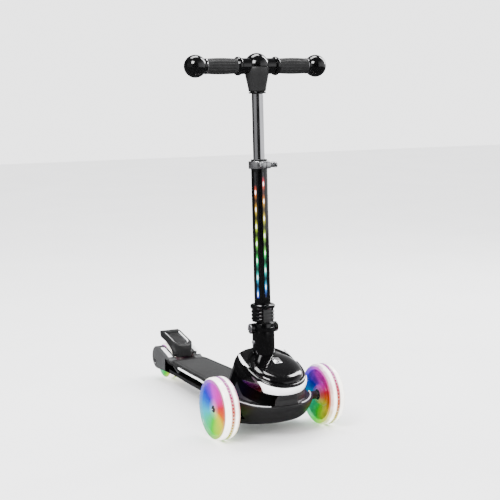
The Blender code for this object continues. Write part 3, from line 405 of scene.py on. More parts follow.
def deck_mat():
    """Grippy footboard mat: fine grit over a slightly worn grey."""
    r = Recipe("deck_mat", (0.07, 0.072, 0.074), 0.7)
    wear = r.noise(9.0, 6.0, 0.6)
    r.colour(r.ramp(wear, ((0.3, (0.0130, 0.0133, 0.0135)), (0.7, (0.0200, 0.0204, 0.0208)))))
    grit = r.relief(r.cells(1300.0), 0.6, 0.00022)
    r.normal(r.relief(r.noise(3200.0, 2.0), 0.3, 0.00006, grit))
    r.rough(r.span(wear, 0.3, 0.7, 0.52, 0.70))
    return r.mat


def glow_plastic(name, colour, strength, grain=700.0):
    """Milky diffuser lit from behind, with faint unevenness."""
    r = Recipe(name, colour, 0.22)
    dim = tuple(c * 0.86 for c in colour)
    tint = r.ramp(r.noise(55.0, 3.0), ((0.3, dim), (0.65, colour)))
    r.colour(tint)
    r.join(tint, r.shader.inputs["Emission Color"])
    r.put("Emission Strength", strength)
    r.put("Coat Weight", 0.4)
    r.normal(r.relief(r.noise(grain, 2.0), 0.15, 0.00006))
    return r.mat


WHEEL_COLOURS = (
    (0.00, (0.80, 0.010, 0.86)),
    (0.13, (0.90, 0.005, 0.42)),
    (0.20, (0.92, 0.005, 0.040)),
    (0.27, (0.95, 0.15, 0.000)),
    (0.35, (0.95, 0.78, 0.000)),
    (0.44, (0.45, 0.92, 0.000)),
    (0.52, (0.010, 0.80, 0.010)),
    (0.62, (0.000, 0.75, 0.32)),
    (0.70, (0.000, 0.62, 0.85)),
    (0.78, (0.000, 0.20, 0.90)),
    (0.85, (0.005, 0.020, 0.75)),
    (0.93, (0.26, 0.008, 0.85)),
    (1.00, (0.80, 0.010, 0.86)),
)


def wheel_turn(r, centre):
    """0 at the top of the wheel, rising towards the front, 1 back at the top."""
    parts = r.add("ShaderNodeSeparateXYZ")
    r.join(r.coords, parts.inputs[0])
    ahead = r.math("SUBTRACT", centre.y, parts.outputs["Y"])
    up = r.math("SUBTRACT", parts.outputs["Z"], centre.z)
    turn = r.math("ARCTAN2", ahead, up)
    whole = r.math("FRACT", r.math("DIVIDE", turn, 2 * math.pi))
    out = r.math("SQRT", r.math("ADD", r.math("MULTIPLY", ahead, ahead), r.math("MULTIPLY", up, up)))
    across = r.math("SUBTRACT", parts.outputs["X"], centre.x)
    return whole, out, across


def wheel_glow(name, centre, radius, strength, dark):
    """Core plastic lit from inside by a ring of coloured lights, paler by the hub."""
    r = Recipe(name, (0.8, 0.4, 0.6), 0.2)
    turn, out, _ = wheel_turn(r, centre)
    drift = r.math("ADD", turn, r.span(r.noise(30.0, 2.0), 0.3, 0.7, -0.02, 0.02))
    hue = r.ramp(r.math("FRACT", drift), WHEEL_COLOURS)
    pale = r.span(out, radius * 0.12, radius * 0.36, 0.34, 0.0)
    tint = r.mix(pale, hue, (0.90, 0.90, 0.94))
    shade = r.span(r.noise(70.0, 3.0), 0.3, 0.7, 0.0, dark)
    lit = r.mix(shade, tint, (0.01, 0.01, 0.015))
    r.colour(r.mix(0.92, lit, (0.0, 0.0, 0.0)))
    r.join(lit, r.shader.inputs["Emission Color"])
    r.put("Emission Strength", strength)
    r.put("Coat Weight", 0.3)
    r.put("Coat Roughness", 0.06)
    r.normal(r.relief(r.noise(220.0, 2.0), 0.08, 0.0002))
    return r.mat


def clear_tyre(name, centre, radius, width, strength, inward=1):
    """Cast clear urethane, white, with the wheel lamps' light painted on as a glow: coloured in the tread's groove,
    on its inner shoulder and next to the core, white elsewhere.
    """
    r = Recipe(name, (0.95, 0.93, 0.94), 0.12)
    turn, out, across = wheel_turn(r, centre)
    hue = r.ramp(turn, WHEEL_COLOURS)
    side = r.span(r.math("MULTIPLY", across, inward), -width / 2, width / 2, 0.0, 1.0)
    stops = ((0.0, 0.05), (0.36, 0.04), (0.40, 0.92), (0.60, 0.92))
    stops += ((0.64, 0.06), (0.78, 0.10), (0.87, 0.72), (1.0, 0.85))
    groove = r.ramp(side, [(spot, (value, value, value)) for spot, value in stops])
    face = r.span(out, radius - 0.0042, radius - 0.0028, 1.0, 0.0)
    streak = r.span(r.noise(60.0, 3.0, 0.5), 0.35, 0.65, -0.10, 0.10)
    # Where this is high the lamps' coloured light is painted on as glow; elsewhere the tyre glows white.
    painted_lamp_glow = r.math("MAXIMUM", r.math("ADD", groove, streak), face)
    painted_lamp_glow = r.math("MINIMUM", r.math("MAXIMUM", painted_lamp_glow, 0.0), 1.0)
    r.colour(r.mix(r.math("MULTIPLY", painted_lamp_glow, 0.92), (0.96, 0.95, 0.90), (0.0, 0.0, 0.0)))
    r.join(r.mix(painted_lamp_glow, (1.45, 1.40, 1.20), hue), r.shader.inputs["Emission Color"])
    r.put("Emission Strength", strength)
    r.put("Coat Weight", 0.5)
    r.put("Coat Roughness", 0.03)
    r.normal(r.relief(r.noise(150.0, 3.0), 0.12, 0.0003))
    return r.mat


LED_COLOURS = (
    (0.00, (0.05, 0.10, 0.95)),
    (0.09, (0.00, 0.35, 0.95)),
    (0.18, (0.00, 0.70, 0.75)),
    (0.25, (0.00, 0.80, 0.50)),
    (0.36, (0.00, 0.85, 0.10)),
    (0.50, (0.35, 0.90, 0.00)),
    (0.62, (0.75, 0.85, 0.00)),
    (0.70, (0.95, 0.72, 0.00)),
    (0.80, (1.00, 0.45, 0.00)),
    (0.90, (1.00, 0.12, 0.00)),
    (1.00, (0.95, 0.02, 0.08)),
)


def height_on_stem(r):
    """Distance above the fold pin along the stem."""
    away = r.add("ShaderNodeVectorMath", operation="SUBTRACT")
    r.join(r.coords, away.inputs[0])
    away.inputs[1].default_value = FOLD_PIN
    along = r.add("ShaderNodeVectorMath", operation="DOT_PRODUCT")
    r.join(away.outputs[0], along.inputs[0])
    along.inputs[1].default_value = STEM_AXIS
    return along.outputs["Value"]


def led_glow(name, low, high, strength):
    """Small lamps, coloured from violet at the foot of the stem to red at its top."""
    r = Recipe(name, (0.2, 0.2, 0.2), 0.2)
    rise = r.span(height_on_stem(r), low, high, 0.0, 1.0)
    hue = r.ramp(rise, LED_COLOURS)
    spark = r.span(r.noise(900.0, 2.0), 0.35, 0.7, 0.0, 0.16)
    lit = r.mix(spark, hue, (1.0, 0.98, 0.92))
    r.colour(lit)
    r.join(lit, r.shader.inputs["Emission Color"])
    r.put("Emission Strength", strength)
    return r.mat


def led_lens(name, low, high, first, pitch, count):
    """Smoked strip over the lamps: each lamp spreads its colour along it, joined by a faint line."""
    r = Recipe(name, (0.02, 0.02, 0.02), 0.12)
    height = height_on_stem(r)
    hue = r.ramp(r.span(height, low, high, 0.0, 1.0), LED_COLOURS)
    step = r.math("DIVIDE", r.math("SUBTRACT", height, first), pitch)
    off = r.math("ABSOLUTE", r.math("SUBTRACT", step, r.math("ROUND", step)))
    near = r.math("POWER", r.math("MAXIMUM", r.math("SUBTRACT", 1.0, r.math("MULTIPLY", off, 2.1)), 0.0), 1.7)
    near = r.math("ADD", near, 0.05)
    near = r.math("MULTIPLY", near, r.span(step, count - 0.62, count - 0.52, 1.0, 0.0))
    near = r.math("MULTIPLY", near, r.span(step, -0.62, -0.52, 0.0, 1.0))
    near = r.math("MULTIPLY", near, r.span(step, 0.0, count - 1.0, 1.0, 0.62))
    uneven = r.span(r.noise(400.0, 2.0), 0.3, 0.7, 0.8, 1.1)
    lit = r.mix(r.math("MULTIPLY", near, uneven), (0.0015, 0.0015, 0.002), hue)
    r.colour(r.mix(0.6, lit, (0.01, 0.01, 0.011)))
    r.join(lit, r.shader.inputs["Emission Color"])
    r.put("Emission Strength", 1.5)
    r.put("Coat Weight", 1.0)
    return r.mat


def grey(value, blue):
    return (value, value, blue)


GLOSS = moulded(
    "gloss_black", grey(0.0006, 0.0007), grey(0.0014, 0.0015), 0.07, 0.14, 500.0, 0.000003, 0.6, 0.5, 0.00015
)
SATIN = moulded("satin_black", grey(0.0085, 0.0088), grey(0.0120, 0.0123), 0.36, 0.50, 1500.0, 0.00010)
# Satin grey for the head's fascia and the collar's front band, and a painted sheen on the head's right wall.
FASCIA_GREY_AND_SHEEN = moulded("satin_grey", grey(0.0130, 0.0133), grey(0.0175, 0.0179), 0.32, 0.44, 1800.0, 0.00008)
# Near-black with little specular, as painted shade: used in the deck's side channels and on the head's left wall.
PAINTED_SHADE_BLACK = moulded(
    "painted_shade_black", grey(0.0002, 0.0002), grey(0.0006, 0.0006), 0.34, 0.50, 900.0, 0.00008, 0.0, 0.10
)
ARM = moulded("arm_grey", (0.044, 0.045, 0.046), (0.056, 0.057, 0.058), 0.38, 0.54, 1600.0, 0.00009)
HOUSING = moulded("housing_grey", grey(0.010, 0.0105), grey(0.015, 0.0155), 0.45, 0.60, 1200.0, 0.00010)
TUBE_PAINT = moulded("stem_lacquer", grey(0.0005, 0.0006), grey(0.0012, 0.0013), 0.10, 0.16, 300.0, 0.00002, 0.6)
RUBBER = pebbled_rubber()
MAT = deck_mat()
CHROME = metal("polished_chrome", (0.72, 0.72, 0.74), (0.90, 0.90, 0.92), 0.04, 0.12, (1, 1, 0.02))
SILVER = metal("satin_silver", (0.55, 0.55, 0.56), (0.84, 0.84, 0.85), 0.18, 0.34, (1, 1, 0.05))
STEEL = metal("turned_steel", (0.40, 0.40, 0.41), (0.66, 0.66, 0.67), 0.22, 0.38, (0.05, 1, 1))
DIFFUSER = glow_plastic("white_diffuser", (0.92, 0.93, 0.94), 0.55)
TRIM = glow_plastic("white_trim", (0.88, 0.89, 0.90), 0.30)


# ---------------------------------------------------------------- rows of small repeats
def bead_tree(name, finish, sockets, lay_out):
    """Geometry Nodes: one small rounded bead repeated on laid-out points, and given its finish."""
    tree = bpy.data.node_groups.new(name, "GeometryNodeTree")
    tree.is_modifier = True
    for label, kind in sockets:
        tree.interface.new_socket(name=label, in_out="INPUT", socket_type="NodeSocket" + kind)
    tree.interface.new_socket(name="Geometry", in_out="OUTPUT", socket_type="NodeSocketGeometry")
    nodes, links = tree.nodes, tree.links
    given = nodes.new("NodeGroupInput")
    points, turned, (segments, rings) = lay_out(nodes, links, given)
    bead = nodes.new("GeometryNodeMeshUVSphere")
    bead.inputs["Segments"].default_value = segments
    bead.inputs["Rings"].default_value = rings
    bead.inputs["Radius"].default_value = 1.0
    place = nodes.new("GeometryNodeInstanceOnPoints")
    links.new(points, place.inputs["Points"])
    links.new(bead.outputs["Mesh"], place.inputs["Instance"])
    links.new(turned, place.inputs["Rotation"])
    links.new(given.outputs["Bead Size"], place.inputs["Scale"])
    real = nodes.new("GeometryNodeRealizeInstances")
    links.new(place.outputs["Instances"], real.inputs["Geometry"])
    smooth = nodes.new("GeometryNodeSetShadeSmooth")
    links.new(real.outputs["Geometry"], smooth.inputs["Geometry"])
    paint = nodes.new("GeometryNodeSetMaterial")
    paint.inputs["Material"].default_value = finish
    links.new(smooth.outputs["Geometry"], paint.inputs["Geometry"])
    out = nodes.new("NodeGroupOutput")
    links.new(paint.outputs["Geometry"], out.inputs["Geometry"])
    return tree


def row_tree(name, finish):
    """Beads along a line."""

    def lay_out(nodes, links, given):
        line = nodes.new("GeometryNodeMeshLine")
        links.new(given.outputs["Count"], line.inputs["Count"])
        links.new(given.outputs["Start"], line.inputs["Start Location"])
        links.new(given.outputs["Step"], line.inputs["Offset"])
        turn = nodes.new("FunctionNodeEulerToRotation")
        links.new(given.outputs["Bead Turn"], turn.inputs[0])
        return line.outputs["Mesh"], turn.outputs[0], (12, 8)

    sockets = [("Count", "Int")] + [(label, "Vector") for label in ("Start", "Step", "Bead Size", "Bead Turn")]
    return bead_tree(name, finish, sockets, lay_out)


def ring_tree(name, finish):
    """Beads round a circle about Z, each turned to face outwards."""

    def lay_out(nodes, links, given):
        circle = nodes.new("GeometryNodeMeshCircle")
        links.new(given.outputs["Count"], circle.inputs["Vertices"])
        links.new(given.outputs["Radius"], circle.inputs["Radius"])
        spot = nodes.new("GeometryNodeInputPosition")
        face = nodes.new("FunctionNodeAlignRotationToVector")
        face.axis = "X"
        links.new(spot.outputs[0], face.inputs["Vector"])
        return circle.outputs["Mesh"], face.outputs[0], (8, 5)

    sockets = (("Count", "Int"), ("Radius", "Float"), ("Bead Size", "Vector"))
    return bead_tree(name, finish, sockets, lay_out)


def beads(name, tree, place, *values):
    """Runs a bead tree with its inputs in order, as a plain mesh carried to its place."""
    thing = bpy.data.objects.new(name, bpy.data.meshes.new(name))
    bpy.context.scene.collection.objects.link(thing)
    made = thing.modifiers.new("beads", "NODES")
    made.node_group = tree
    sockets = [item for item in tree.interface.items_tree if item.in_out == "INPUT"]
    for item, value in zip(sockets, values):
        made[item.identifier] = value
    settle(thing)
    thing.data.transform(place)
    return thing


# ---------------------------------------------------------------- handlebar
GRIP_START, GRIP_END, GRIP_RADIUS = 0.036, 0.108, 0.0155
TEE_RADIUS, TEE_SEAM, TEE_FOOT, DOME_RISE = 0.024, -0.0010, -0.0516, 0.0253
BALL_X, BALL_RADIUS = 0.1287, 0.0213


def tee():
    profile = [(0, TEE_SEAM), (TEE_RADIUS - 0.0010, TEE_SEAM), (TEE_RADIUS - 0.0004, TEE_SEAM - 0.005)]
    profile += [(0.0232, -0.012), (0.0212, -0.022), (0.0180, -0.0376)]
    profile += [(0.0164, TEE_FOOT + 0.0030), (0, TEE_FOOT + 0.0030)]
    body = revolve("tee_body", rounded(profile, 0.0040, 6), BAR)
    dress(body, "handlebar", "satin_black", SATIN, "tee_head")
    foot = [(0.0120, TEE_FOOT + 0.0028), (0.0165, TEE_FOOT + 0.0028), (0.0164, TEE_FOOT), (0.0120, TEE_FOOT)]
    dress(revolve("tee_foot_ring", rounded(foot, 0.0006, 3, True), BAR), "handlebar", "gloss_black", GLOSS)
    seat = TEE_SEAM + 0.0004
    dome, steps = [], 32
    for i in range(steps + 1):
        turn = math.pi / 2 * i / steps
        dome.append(((TEE_RADIUS - 0.0002) * math.sin(turn), seat + DOME_RISE * math.cos(turn)))
    dome += [(TEE_RADIUS - 0.0008, seat - 0.0003), (0, seat - 0.0003)]
    cap = revolve("tee_dome", dome, BAR)
    for _, sign in SIDES:
        along_bar = BAR @ Matrix.Rotation(sign * math.pi / 2, 4, "Y")
        sleeve = rod("sleeve", 0.0150, 0.010, GRIP_START - 0.0008, along_bar, 64, 0.0008)
        join_solid(cap, sleeve, "UNION")
    dress(cap, "handlebar", "gloss_black", GLOSS, "dome_cap")


def grip_profile():
    steps = 40
    length = GRIP_END - GRIP_START
    profile = [(0.0108, GRIP_END - 0.0004)]
    for i in range(steps + 1):
        t = i / steps
        swell = 0.0012 * math.sin(math.pi * t)
        profile.append((GRIP_RADIUS - 0.0012 + swell, GRIP_END - 0.0004 - t * (length - 0.0110)))
    flange = GRIP_RADIUS + 0.0022
    edge = [(GRIP_RADIUS - 0.0008, GRIP_START + 0.0090), (flange - 0.0006, GRIP_START + 0.0072)]
    edge += [(flange, GRIP_START + 0.0055), (flange, GRIP_START + 0.0020), (flange - 0.0012, GRIP_START)]
    return profile + rounded(edge, 0.001, 3) + [(0.0108, GRIP_START)]


def flutes(radius, height, turn):
    """Long flutes round the grip, fading out at both ends."""
    if radius < GRIP_RADIUS - 0.0016 or height < GRIP_START + 0.0098:
        return radius, height
    fade = smooth_step(GRIP_START + 0.0100, GRIP_START + 0.0180, height)
    fade *= 1 - smooth_step(GRIP_END - 0.0080, GRIP_END - 0.0030, height)
    return radius - 0.00075 * fade * (0.5 + 0.5 * math.cos(16 * turn)) ** 2, height


def grips():
    slots = row_tree("grip_slots", GLOSS)
    for side, sign in SIDES:
        place = BAR @ Matrix.Rotation(sign * math.pi / 2, 4, "Y")
        sleeve = revolve("grip_sleeve_" + side, grip_profile(), place, 192, flutes, 50)
        dress(sleeve, "handlebar", "grip_rubber", RUBBER, "grip_" + side)
        ring_end = GRIP_START + 0.0086
        two_tone(sleeve, GLOSS, lambda c: abs((place.inverted() @ c).z) < ring_end)
        upper = BAR @ Matrix.Rotation(math.radians(-36), 4, "X")
        row = beads(
            "grip_slots_" + side, slots, upper, 6,
            (sign * (GRIP_START + 0.0170), 0, GRIP_RADIUS - 0.00035), (sign * 0.0095, 0, 0),
            (0.0040, 0.0013, 0.0006), (0, 0, sign * math.radians(16)),
        )
        dress(row, "handlebar", "gloss_black", GLOSS)


def bar_ends():
    for side, sign in SIDES:
        place = BAR @ Matrix.Translation((sign * BALL_X, 0, 0)) @ Matrix.Rotation(sign * math.pi / 2, 4, "Y")
        flat = GRIP_END + 0.0003 - BALL_X
        stop = math.pi - math.asin(0.0143 / BALL_RADIUS)
        steps = 36
        profile = [
            (BALL_RADIUS * math.sin(stop * i / steps), BALL_RADIUS * math.cos(stop * i / steps))
            for i in range(steps + 1)
        ]
        profile += [(0.0143, flat + 0.0010), (0.0138, flat), (0.0108, flat)]
        profile += [(0.0108, -0.005), (0, -0.005)]
        ball = revolve("bar_ball_" + side, profile, place)
        dress(ball, "handlebar", "gloss_black", GLOSS, "ball_end_" + side)
        lip = [(0.0120, flat + 0.0002), (0.0146, flat + 0.0002), (0.0150, flat - 0.0010), (0.0120, flat - 0.0010)]
        collar = revolve("ball_collar_" + side, rounded(lip, 0.0003, 2, True), place)
        dress(collar, "handlebar", "silver", SILVER)


def slide_tube():
    top = 0.4497 + 0.026 - BAR_HEIGHT
    low = 0.200 - BAR_HEIGHT
    tube = band("slide_tube", 0.0095, 0.011, low, top, 0.0004, BAR, 2)
    dress(tube, "handlebar", "chrome", CHROME, "inner_tube")


# ---------------------------------------------------------------- clamp
STEM_R = 0.0157
CLAMP_LOW, CLAMP_HIGH = 0.307, 0.3215
CLAMP_GAP = 0.0003
BAND_R = STEM_R + CLAMP_GAP + 0.0042
LUG_HALF = 0.0095
BOLT_Y = -BAND_R - 0.0055
BOLT_Z = (CLAMP_LOW + CLAMP_HIGH) / 2


def clamp():
    ring = band("clamp_ring", STEM_R + CLAMP_GAP, BAND_R, CLAMP_LOW, CLAMP_HIGH, 0.0008, STEM)
    low = (-LUG_HALF, -BAND_R - 0.011, CLAMP_LOW + 0.001)
    lug = box_tool(low, (LUG_HALF, -BAND_R + 0.002, CLAMP_HIGH - 0.001), STEM)
    soften(lug, 0.0016, 3)
    join_solid(ring, lug, "UNION")
    join_solid(ring, box_tool((-0.001, -0.05, 0.29), (0.001, -0.01, 0.34), STEM))
    line = STEM @ Matrix.Translation((0, BOLT_Y, BOLT_Z)) @ ALONG_X
    join_solid(ring, rod("bore", 0.0028, -0.02, 0.02, line, 32))
    for i in range(8):
        turn = math.radians(45 * i + 22.5)
        place = STEM @ Matrix.Rotation(turn, 4, "Z")
        low = (-0.0012, BAND_R - 0.0035, CLAMP_HIGH - 0.0016)
        join_solid(ring, box_tool(low, (0.0012, BAND_R + 0.002, 0.34), place))
    dress(ring, "stem", "silver", SILVER, "clamp_band")
    face = LUG_HALF + 0.0003
    hexagon = rounded([(0, -face), (0.0052, -face), (0.0052, -face - 0.0045), (0, -face - 0.0045)], 0.0006)
    head = revolve("bolt", hexagon, line, 6, None, 30)
    shank = rod("shank", 0.0025, -face - 0.001, 0.0185, line, 32)
    join_solid(head, shank, "UNION")
    head.name = "clamp_screw"
    dress(head, "stem", "steel", STEEL, "clamp_bolt")
    near, far = -face + 0.0002, -face - 0.0008
    corners = [(0.0030, near), (0.0062, near), (0.0062, far), (0.0030, far)]
    washer = revolve("clamp_washer", rounded(corners, 0.0002, 2, True), line)
    dress(washer, "stem", "silver", SILVER)


def cam_lever():
    x, y, z = 0.0165, BOLT_Y, BOLT_Z
    place = STEM @ Matrix.Translation((x, y, z))
    hub = rod("lever", 0.0062, -0.0045, 0.0045, place, 64, 0.0008)
    inner = BAND_R + 0.0008 - x
    outline = [(-0.002, -0.0052), (-0.002, 0.0052), (0.034, 0.0052), (0.034, -0.0052)]
    blade = plate("blade", rounded(outline, 0.0046, 6, True), inner, inner + 0.0045, place, 0.0010, 3)
    join_solid(hub, blade, "UNION")
    join_solid(hub, box_tool((-0.0082, -0.0082, -0.0028), (inner - 0.0002, 0.0031, 0.0028), place))
    hub.name = "cam_lever"
    dress(hub, "lever", "silver", SILVER, "clamp_lever")
    back = place.inverted()
    two_tone(hub, SATIN, lambda c: 0.0062 < (back @ c).y < 0.0280)


# ---------------------------------------------------------------- stem
STEM_LOW, STEM_HIGH = 0.0148, 0.322
LED_LOW, LED_HIGH = 0.059, 0.301
LED_ROWS = (("left", -60, 0.0667, 0.0326), ("front", 0, 0.0804, 0.0330), ("right", 60, 0.0667, 0.0326))
LED_COUNT = 7
LED_FIRST, LED_LAST, LED_HALF = 0.060, 0.285, 0.002


def stem():
    tube = band("stem_lacquered_tube", STEM_R - 0.0021, STEM_R, STEM_LOW, STEM_HIGH, 0.0004, STEM, 2, 128)
    for _, turn, _, _ in LED_ROWS:
        groove = box_tool(
            (-LED_HALF - 0.0003, -STEM_R - 0.002, LED_LOW),
            (LED_HALF + 0.0003, -STEM_R + 0.0015, LED_HIGH),
            STEM @ Matrix.Rotation(math.radians(turn), 4, "Z"),
        )
        join_solid(tube, groove)
    dress(tube, "stem", "stem_paint", TUBE_PAINT, "stem_tube")
    mouth, rim, foot = 0.3223, 0.3248, 0.272
    section = [(0.0113, rim), (0.0113, foot), (0.0133, foot), (0.0133, mouth), (STEM_R, mouth), (STEM_R, rim)]
    bush = revolve("slide_bush", rounded(section, 0.0006, 3, True), STEM)
    dress(bush, "stem", "satin_black", SATIN, "tube_bush")


def led_rows():
    lamps = row_tree("led_lamps", led_glow("led_lamp", LED_FIRST, LED_LAST, 1.7))
    for side, turn, first, pitch in LED_ROWS:
        place = STEM @ Matrix.Rotation(math.radians(turn), 4, "Z")
        lens = led_lens("led_lens_" + side, LED_FIRST, LED_LAST, first, pitch, LED_COUNT)
        rings = []
        for z in (LED_LOW + 0.0003, LED_HIGH - 0.0003):
            loop = []
            for radius, order in ((STEM_R - 0.0001, 1), (STEM_R - 0.0012, -1)):
                steps = 6
                for i in range(steps + 1):
                    x = order * LED_HALF * (2 * i / steps - 1)
                    loop.append(Vector((x, -math.sqrt(radius ** 2 - x ** 2), z)))
            rings.append(loop)
        strip = loft("led_strip_lens_" + side, rings, place)
        dress(strip, "stem", "led_strip", lens, "led_strip_" + side)
        row = beads(
            "led_lamps_" + side, lamps, place, LED_COUNT,
            (0, -STEM_R + 0.0003, first), (0, 0, pitch), (0.0014, 0.0005, 0.0052), NO_TURN,
        )
        dress(row, "stem", "led_strip", row.data.materials[0])


# ---------------------------------------------------------------- collar, socket and fold
COLLAR_TOP, COLLAR_LOW, COLLAR_R = 0.047, 0.0128, 0.0215


def collar_ribs(radius, height, turn):
    """Ribs all round but for a plain band down the front."""
    sleeve = COLLAR_R - 0.0005
    if radius <= sleeve + 0.00005 or height > COLLAR_TOP - 0.0100:
        return radius, height
    away = abs((turn - 1.5 * math.pi + math.pi) % (2 * math.pi) - math.pi)
    keep = smooth_step(math.radians(27), math.radians(33), away)
    return sleeve + 0.0004 + (radius - sleeve - 0.0004) * keep, height


def collar():
    sleeve, rib, flange, top = COLLAR_R - 0.0005, COLLAR_R + 0.0010, COLLAR_R + 0.0025, COLLAR_TOP
    edge = [(0.0166, top), (flange - 0.0030, top), (flange, top - 0.0022), (flange, top - 0.0068)]
    edge += [(flange - 0.0012, top - 0.0088), (sleeve, top - 0.0095)]
    profile = rounded(edge, 0.0012, 4)
    for i in range(3):
        crest = top - 0.0153 - i * 0.0066
        for k in range(9):
            lift = math.cos(math.pi / 2 * (k - 4) / 4) ** 0.7 if abs(k - 4) < 4 else 0.0
            profile.append((sleeve + (rib - sleeve) * lift, crest + 0.0020 - 0.0005 * k))
    profile += [(sleeve, COLLAR_LOW + 0.0006), (sleeve - 0.0006, COLLAR_LOW), (0.0166, COLLAR_LOW)]
    body = revolve("ribbed_collar", profile, STEM, 192, collar_ribs, 40)
    dress(body, "collar", "gloss_black", GLOSS, "lock_collar")
    back = STEM.inverted()

    def front_band(spot):
        here = back @ spot
        return here.z < COLLAR_TOP - 0.0100 and here.y < 0 and abs(here.x) < 0.44 * abs(here.y)

    two_tone(body, FASCIA_GREY_AND_SHEEN, front_band)


LUG_R, SOCKET_R, SOCKET_DEEP = 0.0123, 0.0215, 0.090


def socket():
    post = rod("socket_post", SOCKET_R, -SOCKET_DEEP, LUG_R - 0.003, STEM, 96, 0.0008)
    half = 0.0096
    front = -LUG_R - 0.0002
    join_solid(post, box_tool((-half, front, front - 0.001), (half, 0.04, 0.04), STEM))
    reach = COLLAR_R + 0.0045
    join_solid(post, box_tool((-0.04, LUG_R + 0.0002, -reach), (0.04, 0.04, 0.04), STEM))
    crown = box_tool((-0.04, 0, 0), (0.04, 0.04, 0.04), STEM)
    join_solid(crown, rod("keep", LUG_R, -0.045, 0.045, STEM @ ALONG_X, 64))
    join_solid(post, crown)
    join_solid(post, rod("bore", 0.0043, -0.03, 0.03, STEM @ ALONG_X, 32))
    spot = STEM @ Matrix.Translation((-SOCKET_R, 0, -0.027)) @ ALONG_X
    join_solid(post, rod("room", 0.0045, -0.006, 0.006, spot, 32))
    dress(post, "deck", "gloss_black", GLOSS, "stem_socket")
    foot = [(SOCKET_R + 0.0001, -0.060), (SOCKET_R + 0.0022, -0.0605)]
    foot += [(SOCKET_R + 0.0050, -0.0680), (SOCKET_R + 0.0001, -0.0700)]
    dress(revolve("socket_foot_ring", rounded(foot, 0.0008, 3, True), STEM), "deck", "gloss_black", GLOSS)
    rings = []
    for i in range(61):
        turn = math.radians(-70 + 140 * i / 60)
        fade = 0.0002 + 0.0010 * smooth_step(0, 8, min(i, 60 - i))
        section = ((-0.0004, -0.0064), (fade, -0.0056), (fade, 0.0014), (-0.0004, 0.0022))
        out = Vector((math.sin(turn), -math.cos(turn), 0))
        rings.append([out * (SOCKET_R + proud) + Vector((0, 0, z)) for proud, z in section])
    dress(loft("socket_band", rings, STEM), "deck", "gloss_black", GLOSS)


def fold_hinge():
    tip, step = SOCKET_R + 0.0085, SOCKET_R + 0.0008
    cap = [(0, tip - 0.0012), (0.0058, tip - 0.0012), (0.0066, tip), (0.0085, tip - 0.0006), (0.0085, step)]
    cap = rounded(cap, 0.0006, 3)
    mirror = [(r, -z) for r, z in reversed(cap)]
    profile = cap + [(0.004, step), (0.004, -step)] + mirror
    dress(revolve("fold_pivot", profile, STEM @ ALONG_X), "deck", "steel", SILVER, "fold_pin")
    for side, sign in SIDES:
        low, high = sign * step, sign * (tip - 0.0012)
        ring = [(0.0086, low), (0.0102, low), (0.0099, high), (0.0086, high)]
        bezel = revolve("fold_bezel_" + side, rounded(ring, 0.0007, 3, True), STEM @ ALONG_X)
        dress(bezel, "deck", "gloss_black", GLOSS)
    out = 0.0022
    face = [(0, out), (0.0034, out), (0.0042, out - 0.0008), (0.0042, -0.003), (0, -0.003)]
    spot = STEM @ Matrix.Translation((-SOCKET_R, 0, -0.027)) @ Matrix.Rotation(-math.pi / 2, 4, "Y")
    button = revolve("release_button", rounded(face, 0.0006, 3), spot, 48)
    dress(button, "lock_button", "silver", SILVER, "lock_button")


# ---------------------------------------------------------------- nose and deck
LIP_Z, NOSE_REAR, NOSE_HALF = 0.0655, 0.112, 0.086
DECK_TOP, DECK_FLOOR, DECK_START, DECK_END = 0.060, 0.031, 0.080, 0.418
WAIST = ((0.080, 0.062), (0.24, 0.0495), (0.38, 0.0455), (0.418, 0.0392))
ARM_IN, ARM_OUT = 0.0222, 0.0402


def lip_rise(x):
    return 0.008 * (x / NOSE_HALF) ** 4


def oval_point(turn, front, rear, half, height, power=2.2):
    c, s = math.cos(turn), math.sin(turn)
    x = half * math.copysign(abs(c) ** (2 / power), c)
    y = (front + rear) / 2 + (rear - front) / 2 * math.copysign(abs(s) ** (2 / power), s)
    return Vector((x, y, height(x, y)))


def oval(front, rear, half, height, power=2.2, sides=160):
    turns = [2 * math.pi * (i + 0.5) / sides for i in range(sides)]
    return [oval_point(turn, front, rear, half, height, power) for turn in turns]


def nose():
    levels = [
        (0.024, -0.020, 0.070, 0.0), (0.024, -0.027, 0.0770, 0.0), (0.0248, -0.0292, 0.0786, 0.0),
        (0.028, -0.0338, 0.0808, 0.0), (0.032, -0.040, 0.0830, 0.1), (0.044, -0.053, 0.0850, 0.4),
        (0.0455, -0.0546, 0.0853, 0.45), (0.0565, -0.065, 0.0860, 1.0), (0.0625, -0.0676, 0.0860, 1.0),
        (0.0643, -0.0679, 0.0859, 1.0), (0.0652, -0.0672, 0.0851, 1.0), (0.0655, -0.0660, 0.0840, 1.0),
        (0.0655, -0.0590, 0.0770, 1.0), (0.0655, -0.0500, 0.0680, 1.0), (0.0655, -0.0380, 0.0560, 1.0),
        (0.0655, -0.0230, 0.0410, 1.0),
    ]
    rings = []
    for z, front, half, rise in levels:
        rear = NOSE_REAR - max(0.0, NOSE_HALF - half)
        rings.append(oval(front, rear, half, lambda x, y, h=z, r=rise: h + r * lip_rise(x)))
    shell = loft("nose_shell", rings)
    room = box_tool((-0.062, -0.020, 0.036), (0.062, 0.050, 0.128), ROOT)
    pocket = box_tool((-0.096, -0.0165, 0.036), (0.096, 0.0205, 0.128), ROOT)
    join_solid(room, pocket, "UNION")
    join_solid(shell, room)
    dress(shell, "deck", "satin_black", SATIN, "deck_frame")


def half_width(y):
    return blend_value(y, WAIST)


